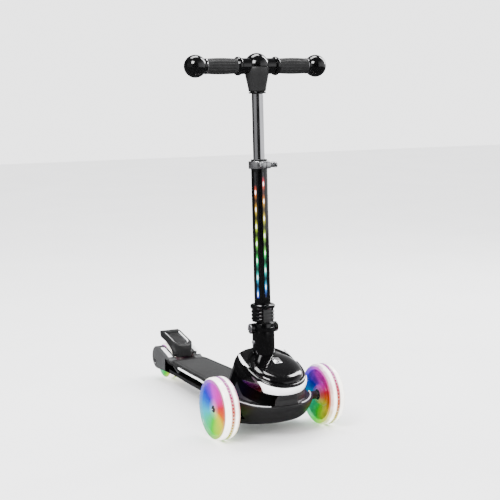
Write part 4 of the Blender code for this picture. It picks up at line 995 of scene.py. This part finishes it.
def deck_body():
    rings = []
    steps = 60
    for i in range(steps + 1):
        y = DECK_START + (DECK_END - DECK_START) * i / steps
        wide = half_width(y)
        deep = wide - 0.010
        rail = wide - 0.003
        top, low = DECK_TOP, DECK_FLOOR
        side = [(wide - 0.0012, top), (wide - 0.0003, top - 0.0004), (wide, top - 0.0012), (wide, top - 0.0048)]
        side += [(wide - 0.0006, top - 0.0056), (deep + 0.0006, top - 0.0074), (deep, top - 0.0082)]
        side += [(deep, low + 0.0122), (deep + 0.0006, low + 0.0115), (rail - 0.0006, low + 0.0101)]
        side += [(rail, low + 0.0094), (rail, low + 0.0034), (rail - 0.0008, low + 0.0022)]
        side += [(rail - 0.0042, low + 0.0004), (rail - 0.0052, low)]
        rings.append([Vector((x, y, z)) for x, z in side] + [Vector((-x, y, z)) for x, z in reversed(side)])
    body = loft("deck_body", rings)
    dress(body, "deck", "satin_black", SATIN)
    # The recessed channel along each side is painted near-black: painted shade.
    two_tone(body, PAINTED_SHADE_BLACK, lambda c: 0.0415 < c.z < 0.0536 and abs(c.x) < half_width(c.y - AXLE_Y) - 0.0030)


def two_tone(thing, finish, chosen):
    thing.data.materials.append(finish)
    for face in thing.data.polygons:
        if chosen(face.center):
            face.material_index = 1


def rear_arms():
    back, reach, middle_z = REAR_Y - 0.010, 0.025, 0.053
    rise = [(0.345, DECK_FLOOR + 0.001), (0.345, DECK_FLOOR + 0.010), (0.388, DECK_TOP - 0.001)]
    outline = rise + [(0.400, DECK_TOP + 0.004)]
    outline += [(0.424, 0.072), (0.442, 0.077)]
    for i in range(19):
        turn = math.radians(90 - 10 * i)
        outline.append((back + reach * math.cos(turn), middle_z + reach * math.sin(turn)))
    outline.append((0.430, DECK_FLOOR - 0.001))
    for side, sign in SIDES:
        low, high = sorted((sign * ARM_IN, sign * ARM_OUT))
        arm = plate("rear_arm_" + side, rounded(outline, 0.008, 4, True), low, high, ROOT, 0.0016, 4, 30)
        hub = ROOT @ Matrix.Translation((sign * ARM_OUT, REAR_Y, REAR_R)) @ ALONG_X
        join_solid(arm, rod("sink", 0.0078, -0.004, 0.004, hub))
        dress(arm, "deck", "arm_grey", ARM)
    bridge = rise + [(0.4175, DECK_TOP - 0.0002), (0.4175, DECK_FLOOR + 0.0002)]
    dress(plate("tail_bridge", bridge, -ARM_OUT, ARM_OUT, ROOT, 0.0006), "deck", "arm_grey", ARM)
    top, under = ARM_OUT - 0.0005, ARM_OUT - 0.0037
    head = [(0, top - 0.0012), (0.0030, top - 0.0012), (0.0036, top), (0.0060, top), (0.0070, top - 0.0010)]
    head += [(0.0070, under), (0.0040, under)]
    profile = head + [(0.0040, -under)] + [(r, -z) for r, z in reversed(head[:-1])]
    axle = revolve("rear_through_bolt", profile, ROOT @ Matrix.Translation((0, REAR_Y, 0.040)) @ ALONG_X, 64)
    dress(axle, "deck", "steel", STEEL, "rear_axle")


def mat():
    low, high = DECK_TOP + 0.0003, DECK_TOP + 0.0031
    start, end = NOSE_REAR + 0.0003, 0.370
    rings = []
    steps = 60
    for i in range(steps + 1):
        y = start + (end - start) * i / steps
        wide = half_width(y) - 0.0045
        side = [(wide, low), (wide, high - 0.0012), (wide - 0.0005, high - 0.0004), (wide - 0.0016, high)]
        side += [(wide - 0.0050, high), (wide - 0.0056, high - 0.0005)]
        side += [(wide - 0.0072, high - 0.0005), (wide - 0.0078, high)]
        rings.append([Vector((x, y, z)) for x, z in side] + [Vector((-x, y, z)) for x, z in reversed(side)])
    dress(loft("deck_grip", rings), "deck", "grip_rubber", MAT, "grip_mat")
    ribs = row_tree("mat_ribs", MAT)
    row = beads(
        "deck_grip_ribs", ribs, ROOT, 60, (0, start + 0.006, high - 0.0001), (0, 0.0041, 0),
        (0.033, 0.0011, 0.00022), NO_TURN,
    )
    dress(row, "deck", "grip_rubber", MAT)


def bright_trims():
    low, high = DECK_TOP - 0.0050, DECK_TOP - 0.0006
    for side, sign in SIDES:
        rings = []
        steps = 50
        for i in range(steps + 1):
            y = NOSE_REAR + 0.004 + (0.330 - NOSE_REAR - 0.004) * i / steps
            inner = half_width(y) + 0.0003
            outer = inner + 0.0016
            loop = [(inner, low), (outer - 0.0004, low + 0.0002), (outer, low + 0.0007)]
            loop += [(outer, high - 0.0007), (outer - 0.0004, high - 0.0002), (inner, high)]
            rings.append([Vector((sign * x, y, z)) for x, z in loop])
        dress(loft("deck_trim_" + side, rings), "deck", "silver", TRIM, "side_trim_" + side)
        base = [(0.400, DECK_TOP + 0.0047), (0.412, 0.0690), (0.424, 0.0720), (0.433, 0.0748), (0.442, 0.077)]
        lower = [(y - 0.0002, z + 0.0005) for y, z in base]
        upper = [(y - 0.0006, z + 0.0020) for y, z in reversed(base)]
        centre = sign * ((ARM_IN + ARM_OUT) / 2 + 0.003)
        strip = plate("arm_strip_" + side, lower + upper, centre - 0.0045, centre + 0.0045, ROOT, 0.0005, 2)
        dress(strip, "deck", "silver", TRIM, "tail_strip_" + side)


# ---------------------------------------------------------------- head
CAP_TILT = math.tan(math.radians(20))


def cap_height(x, y):
    return 0.128 + CAP_TILT * (y + 0.012)


COVER_RINGS = (
    (-0.059, 0.108, 0.079, lambda x, y: 0.0658 + lip_rise(x)),
    (-0.058, 0.104, 0.074, lambda x, y: 0.0758 + lip_rise(x)),
    (-0.065, 0.084, 0.066, lambda x, y: cap_height(x, y) - 0.022),
    (-0.074, 0.071, 0.059, lambda x, y: cap_height(x, y) - 0.009),
    (-0.072, 0.063, 0.057, lambda x, y: cap_height(x, y) - 0.0025),
    (-0.069, 0.060, 0.054, cap_height),
    (-0.060, 0.050, 0.044, cap_height),
)


def cover_point(turn, level, push=0.0):
    """A point of the head's skin: turn in degrees, level from 0 at its foot to 5 at its top edge."""
    a = math.radians(turn)
    spots = [oval_point(a, *ring) for ring in COVER_RINGS]
    low = min(int(level), len(spots) - 2)
    t = level - low
    p1, p2 = spots[low], spots[low + 1]
    if low >= 2:
        p0 = spots[low - 1]
        p3 = spots[min(low + 2, len(spots) - 1)]
        bend = 2 * p0 - 5 * p1 + 4 * p2 - p3
        twist = 3 * p1 - p0 - 3 * p2 + p3
        spot = 0.5 * (2 * p1 + (p2 - p0) * t + bend * t * t + twist * t ** 3)
    else:
        spot = p1.lerp(p2, t)
    away = Vector((spot.x, spot.y - 0.010, 0)).normalized()
    return spot + away * push


def skin_piece(name, turns, levels, push, wall=0.0025):
    """A closed piece of the head's skin between two turns; levels and push may follow the turn."""
    rings = []
    for turn in turns:
        steps = levels(turn)
        outer = [cover_point(turn, v, push(turn, v)) for v in steps]
        inner = [cover_point(turn, v, push(turn, v) - wall) for v in reversed(steps)]
        rings.append(outer + inner)
    return loft(name, rings, ROOT, 32)


def spread(low, high, count):
    return [low + (high - low) * i / count for i in range(count + 1)]


FASCIA_EDGE = 16.5


def head_cover():
    full = spread(0, 360, 240)
    upper = []
    for turn in full[:-1]:
        steps = spread(1.96, 6.0, 34)
        outer = [cover_point(turn, v) for v in steps]
        inner = [cover_point(turn, v, -0.0025) for v in reversed(steps)]
        inner = [Vector((p.x, p.y, p.z - 0.0022)) for p in inner]
        upper.append(outer + inner)
    top = loft("head_shell", upper + [upper[0]], ROOT, 32, False)
    lid = []
    for turn in full[:-1]:
        lid.append(oval_point(math.radians(turn), -0.0605, 0.0505, 0.0445, lambda x, y: cap_height(x, y) - 0.0004))
    under = [p - Vector((0, 0, 0.0016)) for p in lid]
    plug = loft("lid", [under, lid], ROOT)
    join_solid(plug, rod("hole", SOCKET_R + 0.0003, -0.1, 0.05, STEM, 96))
    join_solid(top, rod("hole", SOCKET_R + 0.0003, -0.1, 0.05, STEM, 96))
    dress(top, "deck", "gloss_black", GLOSS, "head_cover")
    dress(plug, "deck", "gloss_black", GLOSS)

    def sunk(turn, v):
        side = abs(turn - 270)
        edge = smooth_step(FASCIA_EDGE, FASCIA_EDGE + 1.0, side) * (1 - smooth_step(100, 112, side))
        rise = smooth_step(0.0, 0.25, v) * (1 - smooth_step(1.90, 2.02, v))
        return -0.0045 * edge * rise

    levels = [0.0, 0.04, 0.08, 0.14, 0.2, 0.26] + spread(0.35, 1.85, 20) + [1.9, 1.94, 1.98, 2.02]
    for side, low, high in (("left", 158, 270 - FASCIA_EDGE), ("right", 270 + FASCIA_EDGE, 382)):
        wall = skin_piece("head_side_" + side, spread(low, high, 120), lambda turn: levels, sunk)
        # The left wall is painted near-black as painted shade and the right wall lighter grey as a painted sheen.
        dress(wall, "deck", "satin_black", PAINTED_SHADE_BLACK if side == "left" else FASCIA_GREY_AND_SHEEN)
    back = skin_piece("head_back", spread(21, 159, 90), lambda turn: levels, lambda turn, v: 0.0)
    dress(back, "deck", "satin_black", SATIN)
    face = skin_piece(
        "head_fascia", spread(270 - FASCIA_EDGE, 270 + FASCIA_EDGE, 48), lambda turn: spread(0.0, 2.06, 16),
        lambda turn, v: 0.0004 + 0.0012 * (1 - smooth_step(FASCIA_EDGE - 1.0, FASCIA_EDGE, abs(turn - 270))), 0.004,
    )
    dress(face, "deck", "satin_black", FASCIA_GREY_AND_SHEEN)
    for side, mirror in (("left", 1), ("right", -1)):
        def turned(turn, mirror=mirror):
            return turn if mirror == 1 else 540 - turn
        rings = []
        for turn in spread(176, 226, 26):
            t = (turn - 176) / 50
            low, high = 0.42, 0.42 + 1.12 * (1 - t) ** 1.1 + 0.02
            rings.append(
                [cover_point(turned(turn), low, -0.0046), cover_point(turned(turn), low, -0.0026 + 0.0010 * t)]
                + [cover_point(turned(turn), high, -0.0038), cover_point(turned(turn), high, -0.0046)]
            )
        dress(loft("head_facet_" + side, rings, ROOT, 25), "deck", "satin_black", HOUSING)
        for k, level in enumerate((0.10, 0.22)):
            rings = []
            for turn in spread(172, 244 - 14 * k, 40):
                section = ((-0.02, -0.005), (-0.02, -0.0002), (0.02, -0.0008), (0.05, -0.005))
                rings.append([cover_point(turned(turn), level + up, push) for up, push in section])
            dress(loft("head_rib_%s_%d" % (side, k), rings, ROOT, 25), "deck", "satin_black", HOUSING)


def puck():
    levels = ((0.0, 0.0, 0.0003), (0.0, 0.0, 0.0018), (0.0006, 0.0006, 0.0032), (0.003, 0.003, 0.0056))
    levels += ((0.007, 0.007, 0.0073), (0.012, 0.012, 0.0084), (0.019, 0.019, 0.0091), (0.026, 0.026, 0.0095))
    rings = []
    for inset, pull, rise in levels:
        front, rear, half = -0.066 + pull, 0.036 - pull, 0.0505 - inset
        rings.append(oval(front, rear, half, lambda x, y, r=rise: cap_height(x, y) + r, 2.0, 200))
    dome = loft("head_dome", rings)
    join_solid(dome, rod("notch", SOCKET_R + 0.0012, -0.1, 0.05, STEM, 96))
    dress(dome, "deck", "gloss_black", GLOSS, "head_puck")
    tile = rounded([(-0.0020, -0.0155), (0.0145, -0.0155), (0.0145, 0.0040), (-0.0020, 0.0040)], 0.0035, 5, True)
    rings = []
    for lift, inset in ((0.0070, 0.0), (0.0098, 0.0), (0.0101, 0.0005)):
        ring = []
        for x, y in tile:
            cx, cy = x + (0.00625 - x) * inset / 0.009, y + (-0.00575 - y) * inset / 0.009
            ring.append(Vector((cx, cy, cap_height(cx, cy) + lift)))
        rings.append(ring)
    dress(loft("dome_badge", rings), "deck", "silver", SILVER)


def lights():
    def rim(turn):
        return 270 - abs(270 - turn)

    def lower(turn):
        side = rim(turn)
        if side >= 229:
            return 2.04
        if side >= 227:
            return 2.04 + 0.10 * (229 - side) / 2
        return 2.14 + (3.35 - 2.14) * (227 - side) / 20

    def upper(turn):
        side = rim(turn)
        return 3.80 - 0.35 * (1 - smooth_step(207, 213, side))

    def levels(turn):
        return spread(lower(turn), upper(turn), 12)

    def proud(turn, v):
        low, high = lower(turn), upper(turn)
        t = (v - low) / max(high - low, 1e-6)
        return 0.0002 + 0.0010 * (1 - abs(2 * t - 1) ** 6)

    band = skin_piece("head_crescent", spread(207, 333, 150), levels, proud, 0.0022)
    dress(band, "deck", "white_light", DIFFUSER, "crescent_light")
    for side, sign in SIDES:
        rings = []
        for i in range(25):
            t = i / 24
            y = 0.042 - 0.043 * t
            x = sign * (0.0500 + 0.0035 * math.sin(math.pi * t * 0.8))
            wide = 0.0026 * math.sin(math.pi * min(1.0, 0.12 + 0.80 * t)) ** 0.5
            lift = 0.0006
            low, high = cap_height(x, y) - 0.003, cap_height(x, y) + lift
            section = ((-wide, low), (wide, low), (wide, high), (-wide, high))
            rings.append([Vector((x + out, y, z)) for out, z in section])
        dress(loft("head_sliver_" + side, rings), "deck", "white_light", DIFFUSER)
        rings = []
        for i in range(41):
            turn = 196 + 52 * i / 40
            a = math.radians(turn if sign < 0 else 540 - turn)
            inner = oval_point(a, -0.0615, 0.1065, 0.0810, lambda x, y: LIP_Z + lip_rise(x))
            outer = oval_point(a, -0.0632, 0.1080, 0.0826, lambda x, y: LIP_Z + lip_rise(x))
            up = Vector((0, 0, 0.0012))
            rings.append([inner - up, outer - up, outer + up * 0.7, inner + up])
        dress(loft("lip_trim_" + side, rings), "deck", "white_light", TRIM)


# ---------------------------------------------------------------- wheels
def tyre_ring(radius, depth, half):
    inner = radius - depth + 0.0003
    side = [(inner, half - 0.0012), (inner + 0.001, half), (radius - 0.0046, half)]
    side += [(radius - 0.0016, half - 0.003), (radius - 0.0004, 0.62 * half), (radius, 0.30 * half)]
    side += [(radius - 0.0003, 0.16 * half), (radius - 0.0010, 0.10 * half)]
    return rounded(side + [(r, -z) for r, z in reversed(side)], 0.0016, 3, True)


def pleats(radius, height, turn):
    """Faint radial pleats on the wheel's outer face."""
    if height < 0.0095 or radius < 0.0165:
        return radius, height
    fade = smooth_step(0.0170, 0.0240, radius) * (1 - smooth_step(0.0400, 0.0452, radius))
    return radius, height - 0.00055 * fade * (0.5 + 0.5 * math.cos(30 * turn))


def front_wheel(side, sign):
    centre = middle("tyre_" + side)
    place = Matrix.Translation(centre) @ Matrix.Rotation(sign * math.pi / 2, 4, "Y")
    steps = 16
    profile = [(0.0061, 0.012), (0.016, 0.012)]
    profile += [(0.0165 + 0.029 * i / steps, 0.0120 + 0.0012 * (i / steps) ** 2) for i in range(1, steps + 1)]
    profile += [(0.0475, 0.0128), (0.0490, 0.0118), (0.0495, 0.0105), (0.0495, -0.0112), (0.0435, -0.0132)]
    profile += [(0.036, -0.0118), (0.029, -0.0096), (0.022, -0.0072), (0.0185, -0.0092), (0.017, -0.0132)]
    profile += [(0.0113, -0.0132), (0.0113, 0.010), (0.0061, 0.010)]
    core = revolve("wheel_core_" + side, profile, place, 240, pleats)
    bright = wheel_glow("wheel_glow_" + side, centre, WHEEL_R, 1.25, 0.0)
    # The inner face gets a dimmer, more mottled copy of the glow: painted shade.
    dim = wheel_glow("wheel_painted_shade_" + side, centre, WHEEL_R, 0.55, 0.5)
    dress(core, "front_wheel_" + side, "wheel_core", bright, "core_" + side)
    two_tone(core, dim, lambda c: sign * (c.x - centre.x) < -0.002 and (c.yz - centre.yz).length < 0.0470)
    tread = clear_tyre("clear_tyre_" + side, centre, WHEEL_R, WHEEL_W, 1.15, -sign)
    tyre = revolve("wheel_tyre_" + side, tyre_ring(WHEEL_R, 0.0105, WHEEL_W / 2), place, 192)
    dress(tyre, "front_wheel_" + side, "wheel_clear", tread, "tyre_" + side)
    hue = wheel_glow("tread_dash_" + side, centre, WHEEL_R, 0.8, 0.25)
    dashes = beads(
        "tread_dashes_" + side, ring_tree("tread_dashes_" + side, hue), place, 56, WHEEL_R - 0.0009,
        (0.0006, 0.0021, 0.0020),
    )
    dress(dashes, "front_wheel_" + side, "wheel_core", hue)
    cap = [(0, 0.0136), (0.0020, 0.0136), (0.0024, 0.0142), (0.0048, 0.0141), (0.0062, 0.0136), (0.0070, 0.0126)]
    cap += [(0.0070, 0.0123), (0.0058, 0.0123), (0.0058, 0.0103), (0, 0.0103)]
    cap = revolve("wheel_cap_" + side, cap, place, 64)
    dress(cap, "front_wheel_" + side, "chrome", SILVER, "hub_cap_" + side)


def rear_wheel():
    centre = middle("rear_tyre")
    place = Matrix.Translation(centre) @ ALONG_X
    side = [(0.0113, 0.0152), (0.014, 0.0152), (0.017, 0.0112), (0.022, 0.0114), (0.027, 0.0122), (0.032, 0.0142)]
    profile = rounded(side + [(r, -z) for r, z in reversed(side)], 0.0008, 3, True)
    bright = wheel_glow("rear_glow", centre, REAR_R, 1.2, 0.15)
    dress(revolve("rear_wheel_core", profile, place, 128), "rear_wheel", "wheel_core", bright, "rear_core")
    tread = clear_tyre("clear_tyre_rear", centre, REAR_R, REAR_W, 1.0)
    tyre = revolve("rear_wheel_tyre", tyre_ring(REAR_R, 0.008, REAR_W / 2), place, 160)
    dress(tyre, "rear_wheel", "wheel_clear", tread, "rear_tyre")
    dashes = beads(
        "tread_dashes_rear", ring_tree("tread_dashes_rear", bright), place, 40, REAR_R - 0.0009,
        (0.0005, 0.0020, 0.0008),
    )
    dress(dashes, "rear_wheel", "wheel_core", bright)


# ---------------------------------------------------------------- fender
FENDER_HALF, FENDER_SKIN, FENDER_FRONT, FENDER_TAIL = 0.0212, 0.0024, -0.0095, 0.0830
FENDER_RISE, FENDER_SLOPE = 0.0213, 0.225
DISH_HALF, DISH_REACH, DISH_MIDDLE, DISH_REAR, DISH_DEEP = 0.0175, 0.0195, 0.022, 0.066, 0.0040


def fender_height(y):
    return FENDER_RISE + FENDER_SLOPE * y


def horseshoe(half, middle_y, reach, rear, steps=48):
    """Straight sides and a round front, from one rear end to the other."""
    path = [(half, rear)]
    for i in range(steps + 1):
        turn = -math.pi * i / steps
        path.append((half * math.cos(turn), middle_y + reach * math.sin(turn)))
    return path + [(-half, rear)]


def dish_path(inset):
    return horseshoe(DISH_HALF - inset, DISH_MIDDLE, DISH_REACH - inset, DISH_REAR - inset)


def fender():
    foot, tail = -0.0071, FENDER_TAIL
    outline = [(FENDER_FRONT + 0.001, foot), (FENDER_FRONT, 0.012), (FENDER_FRONT + 0.002, 0.0180)]
    outline += [(-0.0030, fender_height(-0.0030)), (DISH_REAR + 0.002, fender_height(DISH_REAR + 0.002))]
    outline += [(tail, fender_height(tail) - 0.0030), (tail + 0.0008, fender_height(tail) - 0.0070)]
    outline += [(tail - 0.0030, 0.0235), (0.0640, 0.0205), (0.0515, 0.0180), (0.0343, 0.0111)]
    outline += [(0.0194, 0.0028), (0.0170, foot + 0.0012)]
    shell = plate("fender_shell", rounded(outline, 0.0050, 5, True), -FENDER_HALF, FENDER_HALF, BRAKE)
    path = horseshoe(FENDER_HALF, FENDER_FRONT + 0.0200, 0.0200, FENDER_TAIL + 0.02)
    plan = [[Vector((x, y, z)) for x, y in path] for z in (-0.03, 0.08)]
    join_solid(shell, loft("plan", plan, BRAKE), "INTERSECT")
    soften(shell, 0.0016, 4, 40)
    under = DISH_DEEP + FENDER_SKIN + 0.0011
    hollow = [(0.0215, -0.03), (0.0215, fender_height(0.0215) - under - 0.0050)]
    hollow += [(y, fender_height(y) - under) for y in (0.0265, 0.0500, 0.0660)]
    hollow += [(tail - 0.0040, fender_height(0.0660) - under + 0.0010), (0.090, 0.0240), (0.10, -0.03)]
    width = FENDER_HALF - FENDER_SKIN
    join_solid(shell, plate("hollow", hollow, -width, width, BRAKE))
    pad = [(0.0170, 0.0120)] + [(y, fender_height(y) - DISH_DEEP - 0.0005) for y in (0.03, 0.05, 0.066)]
    pad.append((0.0760, fender_height(0.0660) - DISH_DEEP - 0.0005))
    for i in range(17):
        turn = math.radians(6 - 3.5 * i)
        pad.append((0.07246 + 0.0404 * math.sin(turn), -0.02551 + 0.0404 * math.cos(turn)))
    pad.append((0.0180, -0.0020))
    join_solid(shell, plate("pad", pad, -0.011, 0.011, BRAKE), "UNION")
    dish = [[Vector((x, y, fender_height(y) - DISH_DEEP)) for x, y in dish_path(0.0)]]
    dish.append([Vector((x, y, fender_height(y) - 0.0008)) for x, y in dish_path(0.0)])
    dish.append([Vector((x, y, fender_height(y) + 0.0004)) for x, y in dish_path(-0.0010)])
    dish.append([Vector((x, y, 0.08)) for x, y in dish_path(-0.0012)])
    join_solid(shell, loft("dish", dish, BRAKE))
    slope = Matrix.Translation((0, 0.040, fender_height(0.040) - DISH_DEEP - 0.0008))
    slope = slope @ Matrix.Rotation(math.atan(FENDER_SLOPE), 4, "X") @ Matrix.Diagonal((1.0, 1.6, 1, 1))
    join_solid(shell, rod("oval", 0.0115, 0.0, 0.01, BRAKE @ slope, 96))
    join_solid(shell, rod("bore", 0.0025, -0.03, 0.03, BRAKE @ ALONG_X, 24))
    join_solid(shell, box_tool((-0.0062, -0.0062, -0.02), (0.0062, 0.0062, 0.0066), BRAKE))
    dress(shell, "fender", "satin_black", SATIN, "brake_fender")
    rings = []
    for (x, y), (x_in, y_in) in zip(dish_path(0.0003), dish_path(0.0017)):
        low, high = fender_height(y) - DISH_DEEP + 0.0004, fender_height(y) - 0.0004
        wall = [Vector((x, y, low)), Vector((x, y, high))]
        rings.append(wall + [Vector((x_in, y_in, high - 0.0008)), Vector((x_in, y_in, low))])
    dress(loft("fender_light", rings, BRAKE), "fender", "silver", TRIM, "fender_strip")


# ---------------------------------------------------------------- pieces kept as they were packed
KEPT = {
    SATIN: ("battery_box", "stem_foot", "fender_pin"),
    STEEL: (
        "kingpin_left", "kingpin_right", "bar_tube", "fender_spring", "bearing_inner_left", "bearing_inner_right",
        "rear_bearing_left", "rear_bearing_right",
    ),
    SILVER: ("front_axle_left", "front_axle_right", "bearing_outer_left", "bearing_outer_right"),
    HOUSING: ("knuckle_left", "knuckle_right", "tie_rod", "steer_bush_left", "steer_bush_right"),
}


def keep_pieces():
    for finish, names in KEPT.items():
        for name in names:
            thing = bpy.data.objects[name]
            for slot in thing.material_slots:
                slot.material = finish


# ---------------------------------------------------------------- setting
PANELS = (
    (0.0, 0.90), (0.15, 0.90), (0.19, 0.03), (0.41, 0.03), (0.45, 0.26), (0.59, 0.26), (0.625, 0.015),
    (0.755, 0.015), (0.80, 0.90), (1.0, 0.90),
)


def floor():
    corners = [Vector((x, y, 0)) for x, y in ((-6, -6), (6, -6), (6, 6), (-6, 6))]
    ground = build_mesh("studio_floor", corners, [(0, 1, 2, 3)], Matrix.Identity(4), 35, False)
    r = Recipe("studio_floor", (0.90, 0.90, 0.90), 0.55)
    r.colour(r.ramp(r.noise(3.0, 2.0), ((0.3, (0.90, 0.90, 0.905)), (0.7, (0.93, 0.93, 0.935)))))
    r.normal(r.relief(r.noise(900.0, 2.0), 0.05, 0.0001))
    r.put("Specular IOR Level", 0.1)
    path = r.add("ShaderNodeLightPath")
    dark = r.add("ShaderNodeEmission")
    dark.inputs["Color"].default_value = (0.10, 0.10, 0.105, 1.0)
    choice = r.add("ShaderNodeMixShader")
    r.join(path.outputs["Is Glossy Ray"], choice.inputs[0])
    r.join(r.shader.outputs[0], choice.inputs[1])
    r.join(dark.outputs[0], choice.inputs[2])
    r.join(choice.outputs[0], r.tree.nodes["Material Output"].inputs["Surface"])
    ground.data.materials.append(r.mat)


def studio():
    """Soft even light; mirror-like pieces see tall dark and pale panels round them instead."""
    world = bpy.data.worlds.new("studio")
    bpy.context.scene.world = world
    world.use_nodes = True
    tree = world.node_tree
    sky = tree.nodes["Background"]
    path = tree.nodes.new("ShaderNodeLightPath")
    coords = tree.nodes.new("ShaderNodeTexCoord")
    parts = tree.nodes.new("ShaderNodeSeparateXYZ")
    tree.links.new(coords.outputs["Generated"], parts.inputs[0])

    def step(operation, a, b):
        made = tree.nodes.new("ShaderNodeMath")
        made.operation = operation
        for socket, value in zip(made.inputs, (a, b)):
            if isinstance(value, (int, float)):
                socket.default_value = value
            else:
                tree.links.new(value, socket)
        return made.outputs[0]

    turn = step("ARCTAN2", parts.outputs["Y"], parts.outputs["X"])
    whole = step("FRACT", step("ADD", step("DIVIDE", turn, 2 * math.pi), 1.0), 0.0)
    panels = tree.nodes.new("ShaderNodeValToRGB")
    band = panels.color_ramp
    while len(band.elements) < len(PANELS):
        band.elements.new(0.5)
    for element, (spot, value) in zip(band.elements, PANELS):
        element.position = spot
        element.color = (value, value, value * 1.02, 1.0)
    tree.links.new(whole, panels.inputs[0])

    def blend(factor, a, b):
        mix = tree.nodes.new("ShaderNodeMix")
        mix.data_type = "RGBA"
        for key, value in ((0, factor), (6, a), (7, b)):
            if isinstance(value, tuple):
                mix.inputs[key].default_value = value
            else:
                tree.links.new(value, mix.inputs[key])
        return mix.outputs[2]

    rise = tree.nodes.new("ShaderNodeMapRange")
    for key, number in (("From Min", 0.35), ("From Max", 0.75)):
        rise.inputs[key].default_value = number
    tree.links.new(parts.outputs["Z"], rise.inputs["Value"])
    seen = blend(rise.outputs[0], panels.outputs[0], (0.10, 0.10, 0.105, 1.0))
    shown = blend(path.outputs["Is Glossy Ray"], (3.0, 3.0, 3.02, 1.0), seen)
    shown = blend(path.outputs["Is Camera Ray"], shown, (3.1, 3.1, 3.12, 1.0))
    tree.links.new(shown, sky.inputs["Color"])
    sky.inputs["Strength"].default_value = 1.0


def softbox(name, spot, aim, width, height, power):
    lamp = bpy.data.lights.new(name, "AREA")
    lamp.shape = "RECTANGLE"
    lamp.size = width
    lamp.size_y = height
    lamp.energy = power
    thing = bpy.data.objects.new(name, lamp)
    bpy.context.scene.collection.objects.link(thing)
    thing.location = spot
    thing.rotation_euler = (Vector(aim) - Vector(spot)).to_track_quat("-Z", "Y").to_euler()


def camera():
    lens = bpy.data.cameras.new("camera")
    lens.lens = 92.36
    lens.sensor_width = 36
    view = bpy.data.objects.new("camera", lens)
    bpy.context.scene.collection.objects.link(view)
    view.location = (-1.1547, -2.32085, 0.7172)
    view.rotation_euler = (math.radians(81.38), 0, math.radians(-27.75))
    bpy.context.scene.camera = view


def build():
    tee()
    grips()
    bar_ends()
    slide_tube()
    clamp()
    cam_lever()
    stem()
    led_rows()
    collar()
    socket()
    fold_hinge()
    nose()
    deck_body()
    rear_arms()
    mat()
    bright_trims()
    head_cover()
    puck()
    lights()
    for side, sign in SIDES:
        front_wheel(side, sign)
    rear_wheel()
    fender()
    keep_pieces()


build()
floor()
studio()
softbox("key", (-1.6, -1.2, 2.2), (0, 0, 0.3), 1.0, 1.0, 70)
softbox("rim", (1.8, 0.4, 1.6), (0, 0, 0.35), 0.4, 1.6, 40)
softbox("top", (0.0, 0.6, 2.6), (0, 0, 0.1), 1.6, 0.8, 50)
camera()
